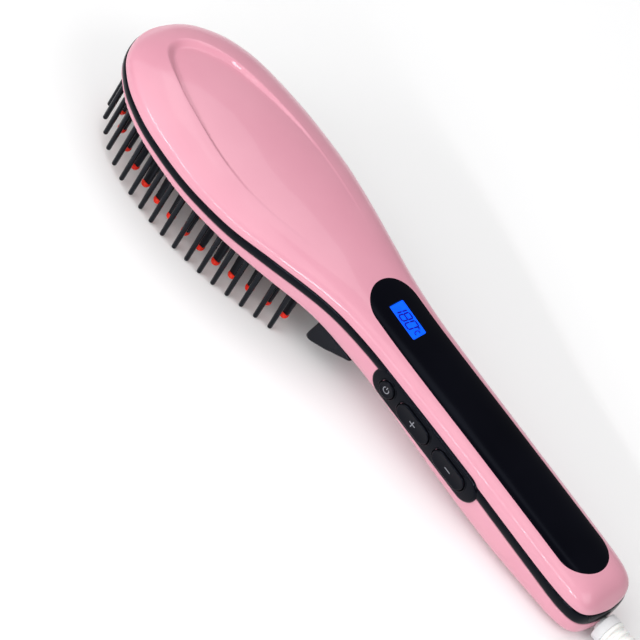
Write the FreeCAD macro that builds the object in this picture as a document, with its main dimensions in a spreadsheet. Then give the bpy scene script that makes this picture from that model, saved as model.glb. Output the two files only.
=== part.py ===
# Heated hair straightener brush, millimetres.
# Frame: +X from the head towards the cord, +Y across, +Z up. The brush lies on its bristles and on the
# flat land under the butt (z = 0). The origin is under the middle of brush and strain relief.
# Stations called "x" in the tables below run from the head's tip; X = x - x_mid.
import FreeCAD, Part
import Sketcher
import math
import os
from FreeCAD import Vector, Placement, Rotation

os.makedirs("parts", exist_ok=True)
doc = FreeCAD.newDocument("HairBrush")

# ------------------------------------------------------------------ driving dimensions
sheet = doc.addObject("Spreadsheet::Sheet", "Dims")
DIMS = [
    ("body_length", 263.0, "head tip to butt"),
    ("x_mid", 150.5, "from the head tip to the origin"),
    ("wall", 2.2, "shell wall"),
    ("trim_proud", 0.4, "trim stands this far outside the shells"),
    ("trim_depth", 2.8, "trim band, across the seam"),
    ("panel_depth", 1.2, "display panel thickness"),
    ("panel_start", 124.6, "panel, head end"),
    ("panel_end", 252.0, "panel, butt end"),
    ("panel_half", 11.0, "panel half width"),
    ("lcd_x", 141.5, "display centre"),
    ("lcd_len", 14.4, "display, along the handle"),
    ("lcd_wid", 7.2, "display, across the handle"),
    ("lcd_thick", 3.6, "display module depth"),
    ("lcd_tilt", 9.0, "display slope"),
    ("pod_x", 176.0, "button pod centre"),
    ("pod_z", 19.6, "button pod centre height"),
    ("pod_tilt", 6.4, "button pod slope"),
    ("pod_len", 57.5, "button pod length"),
    ("pod_rad", 6.1, "button pod half height"),
    ("pod_face", 16.4, "pod outer face from the middle plane"),
    ("pod_back", 12.9, "pod rear edge from the middle plane"),
    ("pod_skin", 1.8, "pod front wall"),
    ("key_gap", 0.25, "gap round each button"),
    ("power_rad", 3.4, "power button radius"),
    ("key_len", 16.6, "plus and minus button length"),
    ("key_rad", 3.6, "plus and minus button half height"),
    ("key_proud", 0.9, "button stands out of the pod"),
    ("key_flange", 0.8, "retaining flange, each way"),
    ("key_travel", 0.6, "button travel"),
    ("power_at", -20.7, "power button from the pod centre"),
    ("plus_at", -5.6, "plus button from the pod centre"),
    ("minus_at", 14.7, "minus button from the pod centre"),
    ("pin_rad", 1.0, "guard bristle radius"),
    ("pin_pitch", 6.3, "guard bristle pitch"),
    ("pin_inset", 4.6, "guard bristles from the outline"),
    ("tooth_len", 4.2, "heated tooth, along the brush"),
    ("tooth_wid", 2.4, "heated tooth, across the brush"),
    ("tooth_tip_z", 4.0, "heated tooth tip height"),
    ("tip_rad", 1.75, "tooth cap radius"),
    ("tip_lift", 5.5, "rise of pin and tooth tips at the head tip"),
    ("lift_end", 55.0, "station where the tips stop rising"),
    ("plate_thick", 2.0, "heater plate"),
    ("plate_tilt", 4.14, "heater plate slope"),
    ("board_len", 66.0, "main board length"),
    ("board_wid", 21.0, "main board width"),
    ("board_thick", 1.6, "board thickness"),
    ("land_x", 239.0, "rest land centre"),
    ("land_len", 8.0, "rest land, between its end centres"),
    ("land_half", 7.5, "rest land half width"),
    ("gland_z", 6.2, "cord axis height at the butt"),
    ("gland_neck", 3.1, "swivel neck radius"),
    ("gland_flange", 3.8, "swivel flange radius"),
    ("gland_collar", 5.6, "swivel collar radius"),
    ("gland_run", 0.3, "running gap of the swivel"),
    ("relief_start", 267.5, "strain relief, brush end"),
    ("relief_end", 301.0, "strain relief, cord end"),
    ("cord_dia", 6.0, "cord diameter"),
    ("coil_in", 18.6, "coil inner radius"),
    ("coil_out", 49.2, "coil outer radius"),
    ("coil_tall", 12.2, "coil height"),
    ("coil_x", 372.0, "coil centre"),
    ("coil_y", 14.0, "coil centre, across"),
    ("coil_turn", 45.9, "radius of the coil's outer turn"),
    ("plug_x", 305.5, "plug body, cord side"),
    ("plug_y", 47.2, "plug axis, across"),
    ("plug_z", 7.2, "plug axis height"),
    ("plug_len", 25.0, "plug body length"),
    ("prong_rad", 2.0, "plug pin radius"),
    ("prong_len", 19.0, "plug pin length"),
    ("prong_gap", 18.6, "plug pin spacing"),
]
for i, (alias, value, note) in enumerate(DIMS, start=1):
    sheet.set("A%d" % i, note)
    sheet.set("B%d" % i, str(value))
    sheet.setAlias("B%d" % i, alias)
doc.recompute()


def dim(alias):
    return float(getattr(sheet, alias))


L = dim("body_length")
XM = dim("x_mid")
WALL = dim("wall")


def ex(alias):
    return "Dims." + alias


# ------------------------------------------------------------------ free-form tables, along the brush
class Profile:
    """Monotone cubic through (x, value), in an angle that is dense at both ends of the body."""

    def __init__(self, rows):
        self.u = [self.angle(r[0]) for r in rows]
        self.v = [r[1] for r in rows]
        n = len(rows)
        h = [self.u[i + 1] - self.u[i] for i in range(n - 1)]
        d = [(self.v[i + 1] - self.v[i]) / h[i] for i in range(n - 1)]
        m = [d[0]] + [0.0] * (n - 2) + [d[-1]]
        for i in range(1, n - 1):
            if d[i - 1] * d[i] > 0:
                a, b = 2 * h[i] + h[i - 1], h[i] + 2 * h[i - 1]
                m[i] = (a + b) / (a / d[i - 1] + b / d[i])
        self.m, self.h = m, h

    @staticmethod
    def angle(x):
        return math.acos(max(-1.0, min(1.0, 1 - 2 * x / L)))

    def at(self, x):
        u = self.angle(x)
        u = max(self.u[0], min(self.u[-1], u))
        i = 0
        while i < len(self.h) - 1 and u > self.u[i + 1]:
            i += 1
        s = (u - self.u[i]) / self.h[i]
        h = self.h[i]
        return ((1 + 2 * s) * (1 - s) ** 2 * self.v[i] + s * (1 - s) ** 2 * h * self.m[i]
                + s * s * (3 - 2 * s) * self.v[i + 1] + s * s * (s - 1) * h * self.m[i + 1])


half_width = Profile([(0, 0), (3, 12.2), (6, 16.8), (10, 20.5), (19, 26.1), (36, 30.8), (57, 32.3), (76, 31.0),
                      (97, 26.2), (118, 20.4), (128, 18.2), (149, 16.2), (184, 15.7), (236, 15.5), (246, 15.3),
                      (251, 15.0), (255, 14.4), (258, 13.4), (260, 11.9), (261.5, 9.4), (262.5, 5.6), (263, 0)])
seam = Profile([(0, 33.2), (21, 32.2), (38, 31.0), (58, 29.9), (76, 29.6), (97, 30.0), (118, 29.9), (128, 28.9),
                (149, 26.4), (184, 21.8), (210, 18.3), (236, 14.9), (250, 13.1), (263, 11.5)])
trim_height = Profile([(0, 3.2), (38, 3.6), (76, 3.8), (97, 4.4), (118, 4.0), (149, 3.8), (184, 4.0), (236, 4.4),
                       (250, 5.2), (263, 5.8)])
crown = Profile([(0, 0), (1, 2.8), (3, 5.0), (6, 7.1), (12, 9.7), (20, 11.9), (30, 13.2), (40, 13.5), (58, 12.9),
                 (76, 11.7), (97, 10.5), (118, 9.7), (135, 9.0), (149, 8.6), (166, 8.9), (184, 9.5), (210, 10.2),
                 (236, 10.7), (250, 11.0), (255, 10.6), (259, 9.0), (261.5, 6.0), (262.5, 3.5), (263, 0)])
belly = Profile([(0, 30.4), (10, 29.6), (21, 27.8), (42, 25.4), (58, 24.0), (80, 22.9), (95, 21.7), (110, 20.8),
                 (120, 19.2), (131, 15.8), (149, 11.8), (167, 8.1), (184, 4.8), (205, 1.8), (220, 0.5), (230, 0.35),
                 (249, 0.35), (256, 0.7), (260, 1.6), (262, 4.0), (263, 8.0)])
roundness_top = Profile([(0, 2.1), (60, 2.15), (118, 2.3), (150, 2.7), (236, 2.9), (263, 2.6)])
roundness_low = Profile([(0, 8), (100, 8), (125, 5), (150, 3.6), (236, 3.6), (263, 3.4)])

NST = 27


def stations(inset):
    """x and half width of the outline moved inwards by inset."""
    rows = []
    f0 = math.pi * 0.45 / NST
    for k in range(NST):
        f = f0 + (math.pi - 2 * f0) * k / (NST - 1)
        x = L * (math.cos(f0) - math.cos(f)) / (2 * math.cos(f0))
        xw = L * (1 - math.cos(f)) / 2
        e = 0.004
        dx = L * (math.cos(f - e) - math.cos(f + e)) / 2
        dw = half_width.at(L * (1 - math.cos(f + e)) / 2) - half_width.at(L * (1 - math.cos(f - e)) / 2)
        t = math.hypot(dx, dw)
        rows.append((x + inset * dw / t, half_width.at(xw) - inset * dx / t))
    return rows


def dome(x, w, base, rise, power, drop, count=15):
    """Closed section at station x: a superellipse arc of half width w and height rise over base."""
    pts = []
    for i in range(count):
        a = math.pi * i / (count - 1)
        c, s = math.cos(a), math.sin(a)
        y = w * math.copysign(abs(c) ** (2.0 / power), c)
        z = base + rise * abs(s) ** (2.0 / power)
        pts.append(Vector(x - XM, y, z))
    arc = Part.BSplineCurve()
    arc.interpolate(pts)
    edges = [arc.toShape()]
    p, q = pts[-1], pts[0]
    if drop:
        s = -1 if rise > 0 else 1
        p2 = Vector(p.x, p.y, p.z + s * drop)
        q2 = Vector(q.x, q.y, q.z + s * drop)
        edges += [Part.makeLine(p, p2), Part.makeLine(p2, q2), Part.makeLine(q2, q)]
    else:
        edges.append(Part.makeLine(p, q))
    return Part.Wire(edges)


def loft(wires):
    solid = Part.makeLoft(wires, True, False)
    if solid.Volume < 0:
        solid.reverse()
    return solid


def top_form(inset, drop):
    rows = []
    for x, w in stations(inset):
        xx = max(0.0, min(L, x))
        rise = max(0.35, crown.at(xx) - trim_height.at(xx) / 2 - (inset - dim("trim_proud")))
        rows.append(dome(x, w, seam.at(xx) + trim_height.at(xx) / 2, rise, roundness_top.at(xx), drop))
    return loft(rows)


def low_form(inset, drop):
    rows = []
    for x, w in stations(inset):
        xx = max(0.0, min(L, x))
        base = seam.at(xx) - trim_height.at(xx) / 2
        rise = max(0.3, base - belly.at(xx) - (inset - dim("trim_proud")))
        rows.append(dome(x, w, base, -rise, roundness_low.at(xx), drop))
    return loft(rows)


def band_form(inset, over):
    rows = []
    for x, w in stations(inset):
        xx = max(0.0, min(L, x))
        lo = seam.at(xx) - trim_height.at(xx) / 2 - over
        hi = seam.at(xx) + trim_height.at(xx) / 2 + over
        p = [Vector(x - XM, w, lo), Vector(x - XM, w, hi), Vector(x - XM, -w, hi), Vector(x - XM, -w, lo)]
        rows.append(Part.makePolygon(p + [p[0]]))
    return loft(rows)


# ------------------------------------------------------------------ document helpers
NODES = []          # (object, label)


def keep(obj, label):
    obj.Label = label
    NODES.append((obj, label))
    return obj


def feature(name, shape, place=None):
    o = doc.addObject("Part::Feature", name)
    o.Shape = shape
    if place is not None:
        o.Placement = place
    return o


def cut(name, base, tool):
    o = doc.addObject("Part::Cut", name)
    o.Base, o.Tool = base, tool
    return o


def common(name, base, tool):
    o = doc.addObject("Part::Common", name)
    o.Base, o.Tool = base, tool
    return o


def fuse(name, items):
    o = doc.addObject("Part::MultiFuse", name)
    o.Shapes = items
    return o


def group(name, items):
    o = doc.addObject("Part::Compound", name)
    o.Links = items
    return o


def place(obj, x="0", y="0", z="0", rot=None):
    """x is the station expression; the origin offset is taken off here."""
    if rot is not None:
        obj.Placement = Placement(Vector(0, 0, 0), rot)
    obj.setExpression("Placement.Base.x", "(%s) - Dims.x_mid" % x)
    obj.setExpression("Placement.Base.y", y)
    obj.setExpression("Placement.Base.z", z)
    return obj


RX = Rotation(Vector(0, 1, 0), 90)        # local Z -> +X
RY = Rotation(Vector(1, 0, 0), -90)       # local Z -> +Y


def cyl(name, radius, height, x, y, z, rot=None):
    o = doc.addObject("Part::Cylinder", name)
    o.setExpression("Radius", radius)
    o.setExpression("Height", height)
    return place(o, x, y, z, rot)


def box(name, lx, ly, lz, x, y, z, rot=None):
    o = doc.addObject("Part::Box", name)
    o.setExpression("Length", lx)
    o.setExpression("Width", ly)
    o.setExpression("Height", lz)
    return place(o, x, y, z, rot)


def plane_of(body, role):
    for f in body.Origin.OriginFeatures:
        if f.Role == role:
            return f
    raise RuntimeError(role)


def new_sketch(body, name, role, offset=None):
    sk = body.newObject("Sketcher::SketchObject", name)
    sk.AttachmentSupport = [(plane_of(body, role), "")]
    sk.MapMode = "FlatFace"
    if offset:
        sk.setExpression("AttachmentOffset.Base.z", offset)
    return sk


def rect(sk, wide, tall):
    """Rectangle centred on the sketch origin; wide and tall are expressions."""
    a, b = 10.0, 5.0
    g = [Part.LineSegment(Vector(-a, -b, 0), Vector(a, -b, 0)), Part.LineSegment(Vector(a, -b, 0), Vector(a, b, 0)),
         Part.LineSegment(Vector(a, b, 0), Vector(-a, b, 0)), Part.LineSegment(Vector(-a, b, 0), Vector(-a, -b, 0))]
    i = sk.addGeometry(g, False)[0]
    C = Sketcher.Constraint
    for k in range(4):
        sk.addConstraint(C("Coincident", i + k, 2, i + (k + 1) % 4, 1))
    sk.addConstraint([C("Horizontal", i), C("Horizontal", i + 2), C("Vertical", i + 1), C("Vertical", i + 3)])
    sk.addConstraint(C("Symmetric", i, 1, i + 1, 2, -1, 1))
    n = sk.addConstraint(C("DistanceX", i, 1, i, 2, 2 * a))
    sk.renameConstraint(n, "wide")
    m = sk.addConstraint(C("DistanceY", i + 1, 1, i + 1, 2, 2 * b))
    sk.renameConstraint(m, "tall")
    sk.setExpression("Constraints.wide", wide)
    sk.setExpression("Constraints.tall", tall)


def circle(sk, radius, tag="round_r", x=None, y=None):
    i = sk.addGeometry(Part.Circle(Vector(0.0 if x is None else 1.0, 0, 0), Vector(0, 0, 1), 2.0), False)
    C = Sketcher.Constraint
    if x is None:
        sk.addConstraint(C("Coincident", i, 3, -1, 1))
    else:
        a = sk.addConstraint(C("DistanceX", -1, 1, i, 3, 1.0))
        sk.renameConstraint(a, tag + "_x")
        b = sk.addConstraint(C("DistanceY", -1, 1, i, 3, 0.5))
        sk.renameConstraint(b, tag + "_y")
        sk.setExpression("Constraints.%s_x" % tag, x)
        sk.setExpression("Constraints.%s_y" % tag, y)
    n = sk.addConstraint(C("Radius", i, 2.0))
    sk.renameConstraint(n, tag)
    sk.setExpression("Constraints.%s" % tag, radius)


def slot(sk, straight, radius):
    """Stadium along the sketch's X axis: straight is the distance between the end centres."""
    h, r = 5.0, 3.0
    g = [Part.LineSegment(Vector(-h, -r, 0), Vector(h, -r, 0)),
         Part.ArcOfCircle(Part.Circle(Vector(h, 0, 0), Vector(0, 0, 1), r), -math.pi / 2, math.pi / 2),
         Part.LineSegment(Vector(h, r, 0), Vector(-h, r, 0)),
         Part.ArcOfCircle(Part.Circle(Vector(-h, 0, 0), Vector(0, 0, 1), r), math.pi / 2, 3 * math.pi / 2)]
    i = sk.addGeometry(g, False)[0]
    C = Sketcher.Constraint
    sk.addConstraint([C("Tangent", i, 2, i + 1, 1), C("Tangent", i + 1, 2, i + 2, 1),
                      C("Tangent", i + 2, 2, i + 3, 1), C("Tangent", i + 3, 2, i, 1)])
    sk.addConstraint([C("Horizontal", i), C("Equal", i + 1, i + 3)])
    sk.addConstraint(C("Symmetric", i + 1, 3, i + 3, 3, -1, 1))
    n = sk.addConstraint(C("Radius", i + 1, r))
    sk.renameConstraint(n, "round_r")
    m = sk.addConstraint(C("DistanceX", i + 3, 3, i + 1, 3, 2 * h))
    sk.renameConstraint(m, "straight")
    sk.setExpression("Constraints.round_r", radius)
    sk.setExpression("Constraints.straight", straight)


def poly(sk, pts):
    """Closed polygon whose corners are held by block constraints."""
    g = []
    n = len(pts)
    for k in range(n):
        p, q = pts[k], pts[(k + 1) % n]
        g.append(Part.LineSegment(Vector(p[0], p[1], 0), Vector(q[0], q[1], 0)))
    i = sk.addGeometry(g, False)[0]
    for k in range(n):
        sk.addConstraint(Sketcher.Constraint("Coincident", i + k, 2, i + (k + 1) % n, 1))
    for k in range(n):
        sk.addConstraint(Sketcher.Constraint("Block", i + k))


def new_body(name):
    return doc.addObject("PartDesign::Body", name)


def pad(body, sk, length, both=False, name="Pad"):
    p = body.newObject("PartDesign::Pad", name)
    p.Profile = sk
    p.setExpression("Length", length)
    if both:
        p.Midplane = True
    body.Tip = p
    return p


def pocket(body, sk, length, rev=False, name="Pocket"):
    p = body.newObject("PartDesign::Pocket", name)
    p.Profile = sk
    p.setExpression("Length", length)
    p.Reversed = rev
    body.Tip = p
    return p


def plate_body(name, wide, tall, thick, role="XY_Plane"):
    b = new_body(name)
    sk = new_sketch(b, name + "_sketch", role)
    rect(sk, wide, tall)
    pad(b, sk, thick, name=name + "_pad")
    return b


def bent_path(points, share=0.45):
    """Straight runs joined by tangent arcs. Returns the wire, the radii and the length."""
    P = [Vector(*p) for p in points]
    edges, radii = [], []
    start = P[0]
    for i in range(1, len(P) - 1):
        a, b = P[i] - P[i - 1], P[i + 1] - P[i]
        run = min(a.Length, b.Length)
        turn = a.getAngle(b)
        cutback = share * run
        r = cutback / math.tan(turn / 2)
        radii.append(r)
        ua, ub = Vector(a).normalize(), Vector(b).normalize()
        s, e = P[i] - ua * cutback, P[i] + ub * cutback
        mid_dir = (ub - ua).normalize()
        centre_dist = r / math.cos(turn / 2)
        m = P[i] + mid_dir * (centre_dist - r)
        edges.append(Part.LineSegment(start, s).toShape())
        edges.append(Part.Arc(s, m, e).toShape())
        start = e
    edges.append(Part.LineSegment(start, P[-1]).toShape())
    w = Part.Wire(edges)
    return w, radii, w.Length


def tube(points, radius):
    w, radii, length = bent_path(points)
    d = (Vector(*points[1]) - Vector(*points[0])).normalize()
    prof = Part.Wire(Part.makeCircle(radius, Vector(*points[0]), d))
    s = w.makePipeShell([prof], True, True)
    return s, radii, length


# ------------------------------------------------------------------ shells, trim and panel
PROUD = dim("trim_proud")
outer_top = feature("outer_top", top_form(PROUD, 0))
inner_top = feature("inner_top", top_form(PROUD + WALL, 1.0))
panel_under = feature("panel_under", top_form(PROUD + dim("panel_depth"), 1.0))
outer_low = feature("outer_low", low_form(PROUD, 0))
inner_low = feature("inner_low", low_form(PROUD + WALL, 1.0))
outer_band = feature("outer_band", band_form(0.0, 0.0))
inner_band = feature("inner_band", band_form(dim("trim_depth"), 1.0))

# stadium column that outlines the display panel
panel_column = new_body("panel_column")
sk = new_sketch(panel_column, "panel_column_sketch", "XY_Plane")
slot(sk, "Dims.panel_end - Dims.panel_start - 2 * Dims.panel_half", ex("panel_half"))
pad(panel_column, sk, "60", name="panel_column_pad")
place(panel_column, "(Dims.panel_start + Dims.panel_end) / 2", "0", "5")

panel_slab = cut("panel_slab", outer_top, panel_under)
panel_raw = common("panel_raw", panel_slab, panel_column)


def tilted(obj, angle_expr, x, y, z):
    """Rotate about the Y axis by the expression (nose down towards the butt) and place."""
    obj.Placement = Placement(Vector(), Rotation(Vector(0, 1, 0), 1.0))
    obj.setExpression("Placement.Rotation.Angle", angle_expr)
    obj.setExpression("Placement.Base.x", "(%s) - Dims.x_mid" % x)
    obj.setExpression("Placement.Base.y", y)
    obj.setExpression("Placement.Base.z", z)
    return obj


lcd_top = seam.at(dim("lcd_x")) + crown.at(dim("lcd_x")) - 0.25
lcd = new_body("lcd_body")
sk = new_sketch(lcd, "lcd_sketch", "XY_Plane")
rect(sk, ex("lcd_len"), ex("lcd_wid"))
p = pad(lcd, sk, ex("lcd_thick"), name="lcd_pad")
p.Reversed = True
tilted(lcd, ex("lcd_tilt"), ex("lcd_x"), "0", str(round(lcd_top, 3)))
keep(lcd, "lcd_display")

lcd_hole = new_body("lcd_hole")
sk = new_sketch(lcd_hole, "lcd_hole_sketch", "XY_Plane")
rect(sk, "Dims.lcd_len + 0.1", "Dims.lcd_wid + 0.1")
pad(lcd_hole, sk, "16", True, name="lcd_hole_pad")
tilted(lcd_hole, ex("lcd_tilt"), ex("lcd_x"), "0", str(round(lcd_top, 3)))

panel = cut("display_panel", panel_raw, lcd_hole)
keep(panel, "display_panel")

# ------------------------------------------------------------------ button pod and its column
POD_ROT = Rotation(Vector(0, 1, 0), dim("pod_tilt")).multiply(Rotation(Vector(1, 0, 0), 90))
# local X runs along the pod, local Y is up, local Z points to -Y (out of the handle)


def pod_body(name, straight, radius, from_y, to_y):
    """Stadium along the pod between two distances from the middle plane (towards -Y)."""
    b = new_body(name)
    s_ = new_sketch(b, name + "_sketch", "XY_Plane", from_y)
    slot(s_, straight, radius)
    pad(b, s_, "(%s) - (%s)" % (to_y, from_y), name=name + "_pad")
    b.Placement = Placement(Vector(dim("pod_x") - XM, 0, dim("pod_z")), POD_ROT)
    b.setExpression("Placement.Base.x", "Dims.pod_x - Dims.x_mid")
    b.setExpression("Placement.Base.z", "Dims.pod_z")
    return b


POD_STRAIGHT = "Dims.pod_len - 2 * Dims.pod_rad"
pod_column = pod_body("pod_column", POD_STRAIGHT, ex("pod_rad"), "Dims.pod_back - 2.4", "Dims.pod_face + 3")
pod_outer = pod_body("pod_outer", POD_STRAIGHT, ex("pod_rad"), ex("pod_back"), ex("pod_face"))
pod_inner = pod_body("pod_inner", POD_STRAIGHT, "Dims.pod_rad - 1.1", "Dims.pod_back - 3", "Dims.pod_face - Dims.pod_skin")

# button centres along the pod, from the pod's middle
AT_POWER, AT_PLUS, AT_MINUS = "Dims.power_at", "Dims.plus_at", "Dims.minus_at"


def pod_part(name, kind, along, straight, radius, from_y, to_y):
    b = new_body(name)
    s_ = new_sketch(b, name + "_sketch", "XY_Plane", from_y)
    if kind == "round":
        circle(s_, radius)
    else:
        slot(s_, straight, radius)
    pad(b, s_, "(%s) - (%s)" % (to_y, from_y), name=name + "_pad")
    b.Placement = Placement(Vector(0, 0, 0), POD_ROT)
    b.setExpression("Placement.Base.x", "Dims.pod_x - Dims.x_mid + (%s) * cos(Dims.pod_tilt * 1 deg)" % along)
    b.setExpression("Placement.Base.z", "Dims.pod_z - (%s) * sin(Dims.pod_tilt * 1 deg)" % along)
    return b


KEY_STRAIGHT = "Dims.key_len - 2 * Dims.key_rad"
FRONT = "Dims.pod_face + Dims.key_proud"
INNER = "Dims.pod_face - Dims.pod_skin"
hole_power = pod_part("hole_power", "round", AT_POWER, "0", "Dims.power_rad + Dims.key_gap", "8", "20")
hole_plus = pod_part("hole_plus", "slot", AT_PLUS, KEY_STRAIGHT, "Dims.key_rad + Dims.key_gap", "8", "20")
hole_minus = pod_part("hole_minus", "slot", AT_MINUS, KEY_STRAIGHT, "Dims.key_rad + Dims.key_gap", "8", "20")
pod_holes = fuse("pod_holes", [pod_inner, hole_power, hole_plus, hole_minus])
pod = cut("button_pod", pod_outer, pod_holes)
keep(pod, "button_pod")


def key(name, kind, along, straight, radius, label):
    """Cap through the pod wall with a flange behind it."""
    b = new_body(name)
    s1 = new_sketch(b, name + "_cap_sketch", "XY_Plane", "Dims.pod_face - Dims.pod_skin - 1.2")
    s2 = new_sketch(b, name + "_flange_sketch", "XY_Plane", "Dims.pod_face - Dims.pod_skin - 1.2")
    if kind == "round":
        circle(s1, radius)
        circle(s2, radius + " + Dims.key_flange")
    else:
        slot(s1, straight, radius)
        slot(s2, straight, radius + " + Dims.key_flange")
    pad(b, s1, "Dims.pod_skin + Dims.key_proud + 1.2", name=name + "_cap")
    pad(b, s2, "1.0", name=name + "_flange")
    b.Placement = Placement(Vector(0, 0, 0), POD_ROT)
    b.setExpression("Placement.Base.x", "Dims.pod_x - Dims.x_mid + (%s) * cos(Dims.pod_tilt * 1 deg)" % along)
    b.setExpression("Placement.Base.z", "Dims.pod_z - (%s) * sin(Dims.pod_tilt * 1 deg)" % along)
    doc.recompute()
    z_front = dim("pod_face") + dim("key_proud")
    inv = b.Placement.inverse()
    names = []
    for i, e in enumerate(b.Shape.Edges, start=1):
        zs = [inv.multVec(v.Point).z for v in e.Vertexes]
        if zs and min(zs) > z_front - 0.01:
            names.append("Edge%d" % i)
    solid = b.Tip
    f = b.newObject("PartDesign::Fillet", name + "_round")
    f.Base = (solid, names)
    f.Radius = 0.6
    b.Tip = f
    keep(b, label)
    return b


power = key("power_key", "round", AT_POWER, "0", ex("power_rad"), "power_button")
plus = key("plus_key", "slot", AT_PLUS, KEY_STRAIGHT, ex("key_rad"), "plus_button")
minus = key("minus_key", "slot", AT_MINUS, KEY_STRAIGHT, ex("key_rad"), "minus_button")

# switch plungers move with the keys, switch bodies sit on the key board
for nm, at in (("power", AT_POWER), ("plus", AT_PLUS), ("minus", AT_MINUS)):
    pl = pod_part(nm + "_plunger", "round", at, "0", "1.7", "Dims.pod_face - Dims.pod_skin - 2.4",
                  "Dims.pod_face - Dims.pod_skin - 1.2")
    keep(pl, nm + "_switch_plunger")

switches = []
for nm, at in (("power", AT_POWER), ("plus", AT_PLUS), ("minus", AT_MINUS)):
    b = new_body(nm + "_switch")
    s_ = new_sketch(b, nm + "_switch_sketch", "XY_Plane", "7.6")
    rect(s_, "6", "6")
    pad(b, s_, "3.5", name=nm + "_switch_pad")
    b.Placement = Placement(Vector(0, 0, 0), POD_ROT)
    b.setExpression("Placement.Base.x", "Dims.pod_x - Dims.x_mid + (%s) * cos(Dims.pod_tilt * 1 deg)" % at)
    b.setExpression("Placement.Base.z", "Dims.pod_z - (%s) * sin(Dims.pod_tilt * 1 deg)" % at)
    switches.append(b)
tact = group("tact_switches", switches)
keep(tact, "tact_switches")

kb = new_body("key_board_body")
s_ = new_sketch(kb, "key_board_sketch", "XY_Plane", "6.4")
rect(s_, "56", "7.4")
pad(kb, s_, "1.2", name="key_board_pad")
kb.Placement = Placement(Vector(0, 0, 0), POD_ROT)
kb.setExpression("Placement.Base.x", "Dims.pod_x - Dims.x_mid - 3")
kb.setExpression("Placement.Base.z", "Dims.pod_z - 0.2")
keep(kb, "key_board")

# ------------------------------------------------------------------ screws that close the shells
NECK_X, BUTT_X = "129", "222"
neck_bore = cyl("neck_bore", "1.75", "30", NECK_X, "0", "0")
neck_sink = cyl("neck_sink", "3.1", "14.6", NECK_X, "0", "0")
butt_bore = cyl("butt_bore", "1.75", "10.2", BUTT_X, "0", "0")
butt_sink = cyl("butt_sink", "3.1", "4.0", BUTT_X, "0", "-0.5")
neck_pilot = cyl("neck_pilot", "1.3", "16", NECK_X, "0", "14")
butt_pilot = cyl("butt_pilot", "1.3", "9.5", BUTT_X, "0", "5")
boss_neck = cyl("boss_neck", "3.2", "30", NECK_X, "0", "19.2")
boss_butt = cyl("boss_butt", "3.2", "30", BUTT_X, "0", "10.4")
boss_low = cyl("boss_low", "3.9", "10.2", BUTT_X, "0", "0")
post_a = cyl("post_a", "2.4", "20", "153", "-3.6", "28.3")
post_b = cyl("post_b", "2.4", "20", "207", "6", "21.4")
boss_top = fuse("boss_top", [boss_neck, boss_butt, post_a, post_b])
boss_in = common("boss_in", boss_top, panel_under)
boss_low_in = common("boss_low_in", boss_low, outer_low)

top_hollow = cut("top_hollow", outer_top, inner_top)
top_joined = fuse("top_joined", [top_hollow, boss_in])
pilot_a = cyl("pilot_a", "0.9", "6", "153", "-3.6", "28.2")
pilot_b = cyl("pilot_b", "0.9", "6", "207", "6", "21.3")
panel_pocket_tool = common("panel_pocket_tool", panel_slab, panel_column)
top_tools = fuse("top_tools", [panel_pocket_tool, lcd_hole, neck_pilot, butt_pilot, pod_column, pilot_a, pilot_b])
top_shell = cut("top_shell", top_joined, top_tools)
keep(top_shell, "top_shell")

# ------------------------------------------------------------------ under the head


def inset_outline(inset, x_end, count=30):
    """Points round the head from (x_end, -y) over the tip to (x_end, +y)."""
    pts = []
    rows = []
    e = 0.004
    f_end = Profile.angle(x_end)
    for k in range(count):
        f = f_end * (0.02 + 0.98 * k / (count - 1))
        dx = L * (math.cos(f - e) - math.cos(f + e)) / 2
        dw = half_width.at(L * (1 - math.cos(f + e)) / 2) - half_width.at(L * (1 - math.cos(max(0, f - e))) / 2)
        t = math.hypot(dx, dw)
        x = L * (1 - math.cos(f)) / 2
        rows.append((x + inset * dw / t, half_width.at(x) - inset * dx / t))
    rows = [r for r in rows if r[1] > 0.8]
    for x, w in reversed(rows):
        pts.append((x, -w))
    pts.append((inset * 1.0, 0.0))
    for x, w in rows:
        pts.append((x, w))
    return pts


def outline_face(inset, x_end, z):
    pts = inset_outline(inset, x_end)
    v = [Vector(x - XM, y, z) for x, y in pts]
    c = Part.BSplineCurve()
    c.interpolate(v)
    e1 = c.toShape()
    # the neck side bows outwards a little
    mid = Vector(v[0].x + 2.0, 0, z)
    e2 = Part.Arc(v[-1], mid, v[0]).toShape()
    return Part.Face(Part.Wire([e1, e2]))


def belly_band(low, high, x0, x1):
    """Slab that follows the underside between two heights above it."""
    xs = [x0 + (x1 - x0) * i / 14.0 for i in range(15)]
    def curve(off):
        c = Part.BSplineCurve()
        c.interpolate([Vector(x - XM, -45, belly.at(max(0, x)) + off) for x in xs])
        return c.toShape()
    a, b = curve(low), curve(high)
    va, vb = a.Vertexes, b.Vertexes
    w = Part.Wire([a, Part.makeLine(va[-1].Point, vb[-1].Point), b, Part.makeLine(vb[0].Point, va[0].Point)])
    return Part.Face(w).extrude(Vector(0, 90, 0))


COMB_END = 119.0
comb_column = feature("comb_column", outline_face(2.95, COMB_END, 10).extrude(Vector(0, 0, 40)))
comb_slab = feature("comb_slab", belly_band(0.7, 2.9, -2.0, 128.0))
comb_blank = common("comb_blank", comb_column, comb_slab)

# heater plate: flat, sloped, with its lower face through (16, 32.0)
P_TILT = math.radians(dim("plate_tilt"))
PX, PZ = 16.0, 32.0


def lift(x):
    """The tips of pins and teeth rise towards the head's tip."""
    return dim("tip_lift") * max(0.0, 1 - x / dim("lift_end")) ** 2


def plate_z(x):
    return PZ - (x - PX) * math.tan(P_TILT)


def near_outline(x, y, margin):
    return abs(y) <= half_width.at(x) - margin


# ring of heated teeth, then rows inside it
TEETH = []


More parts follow.
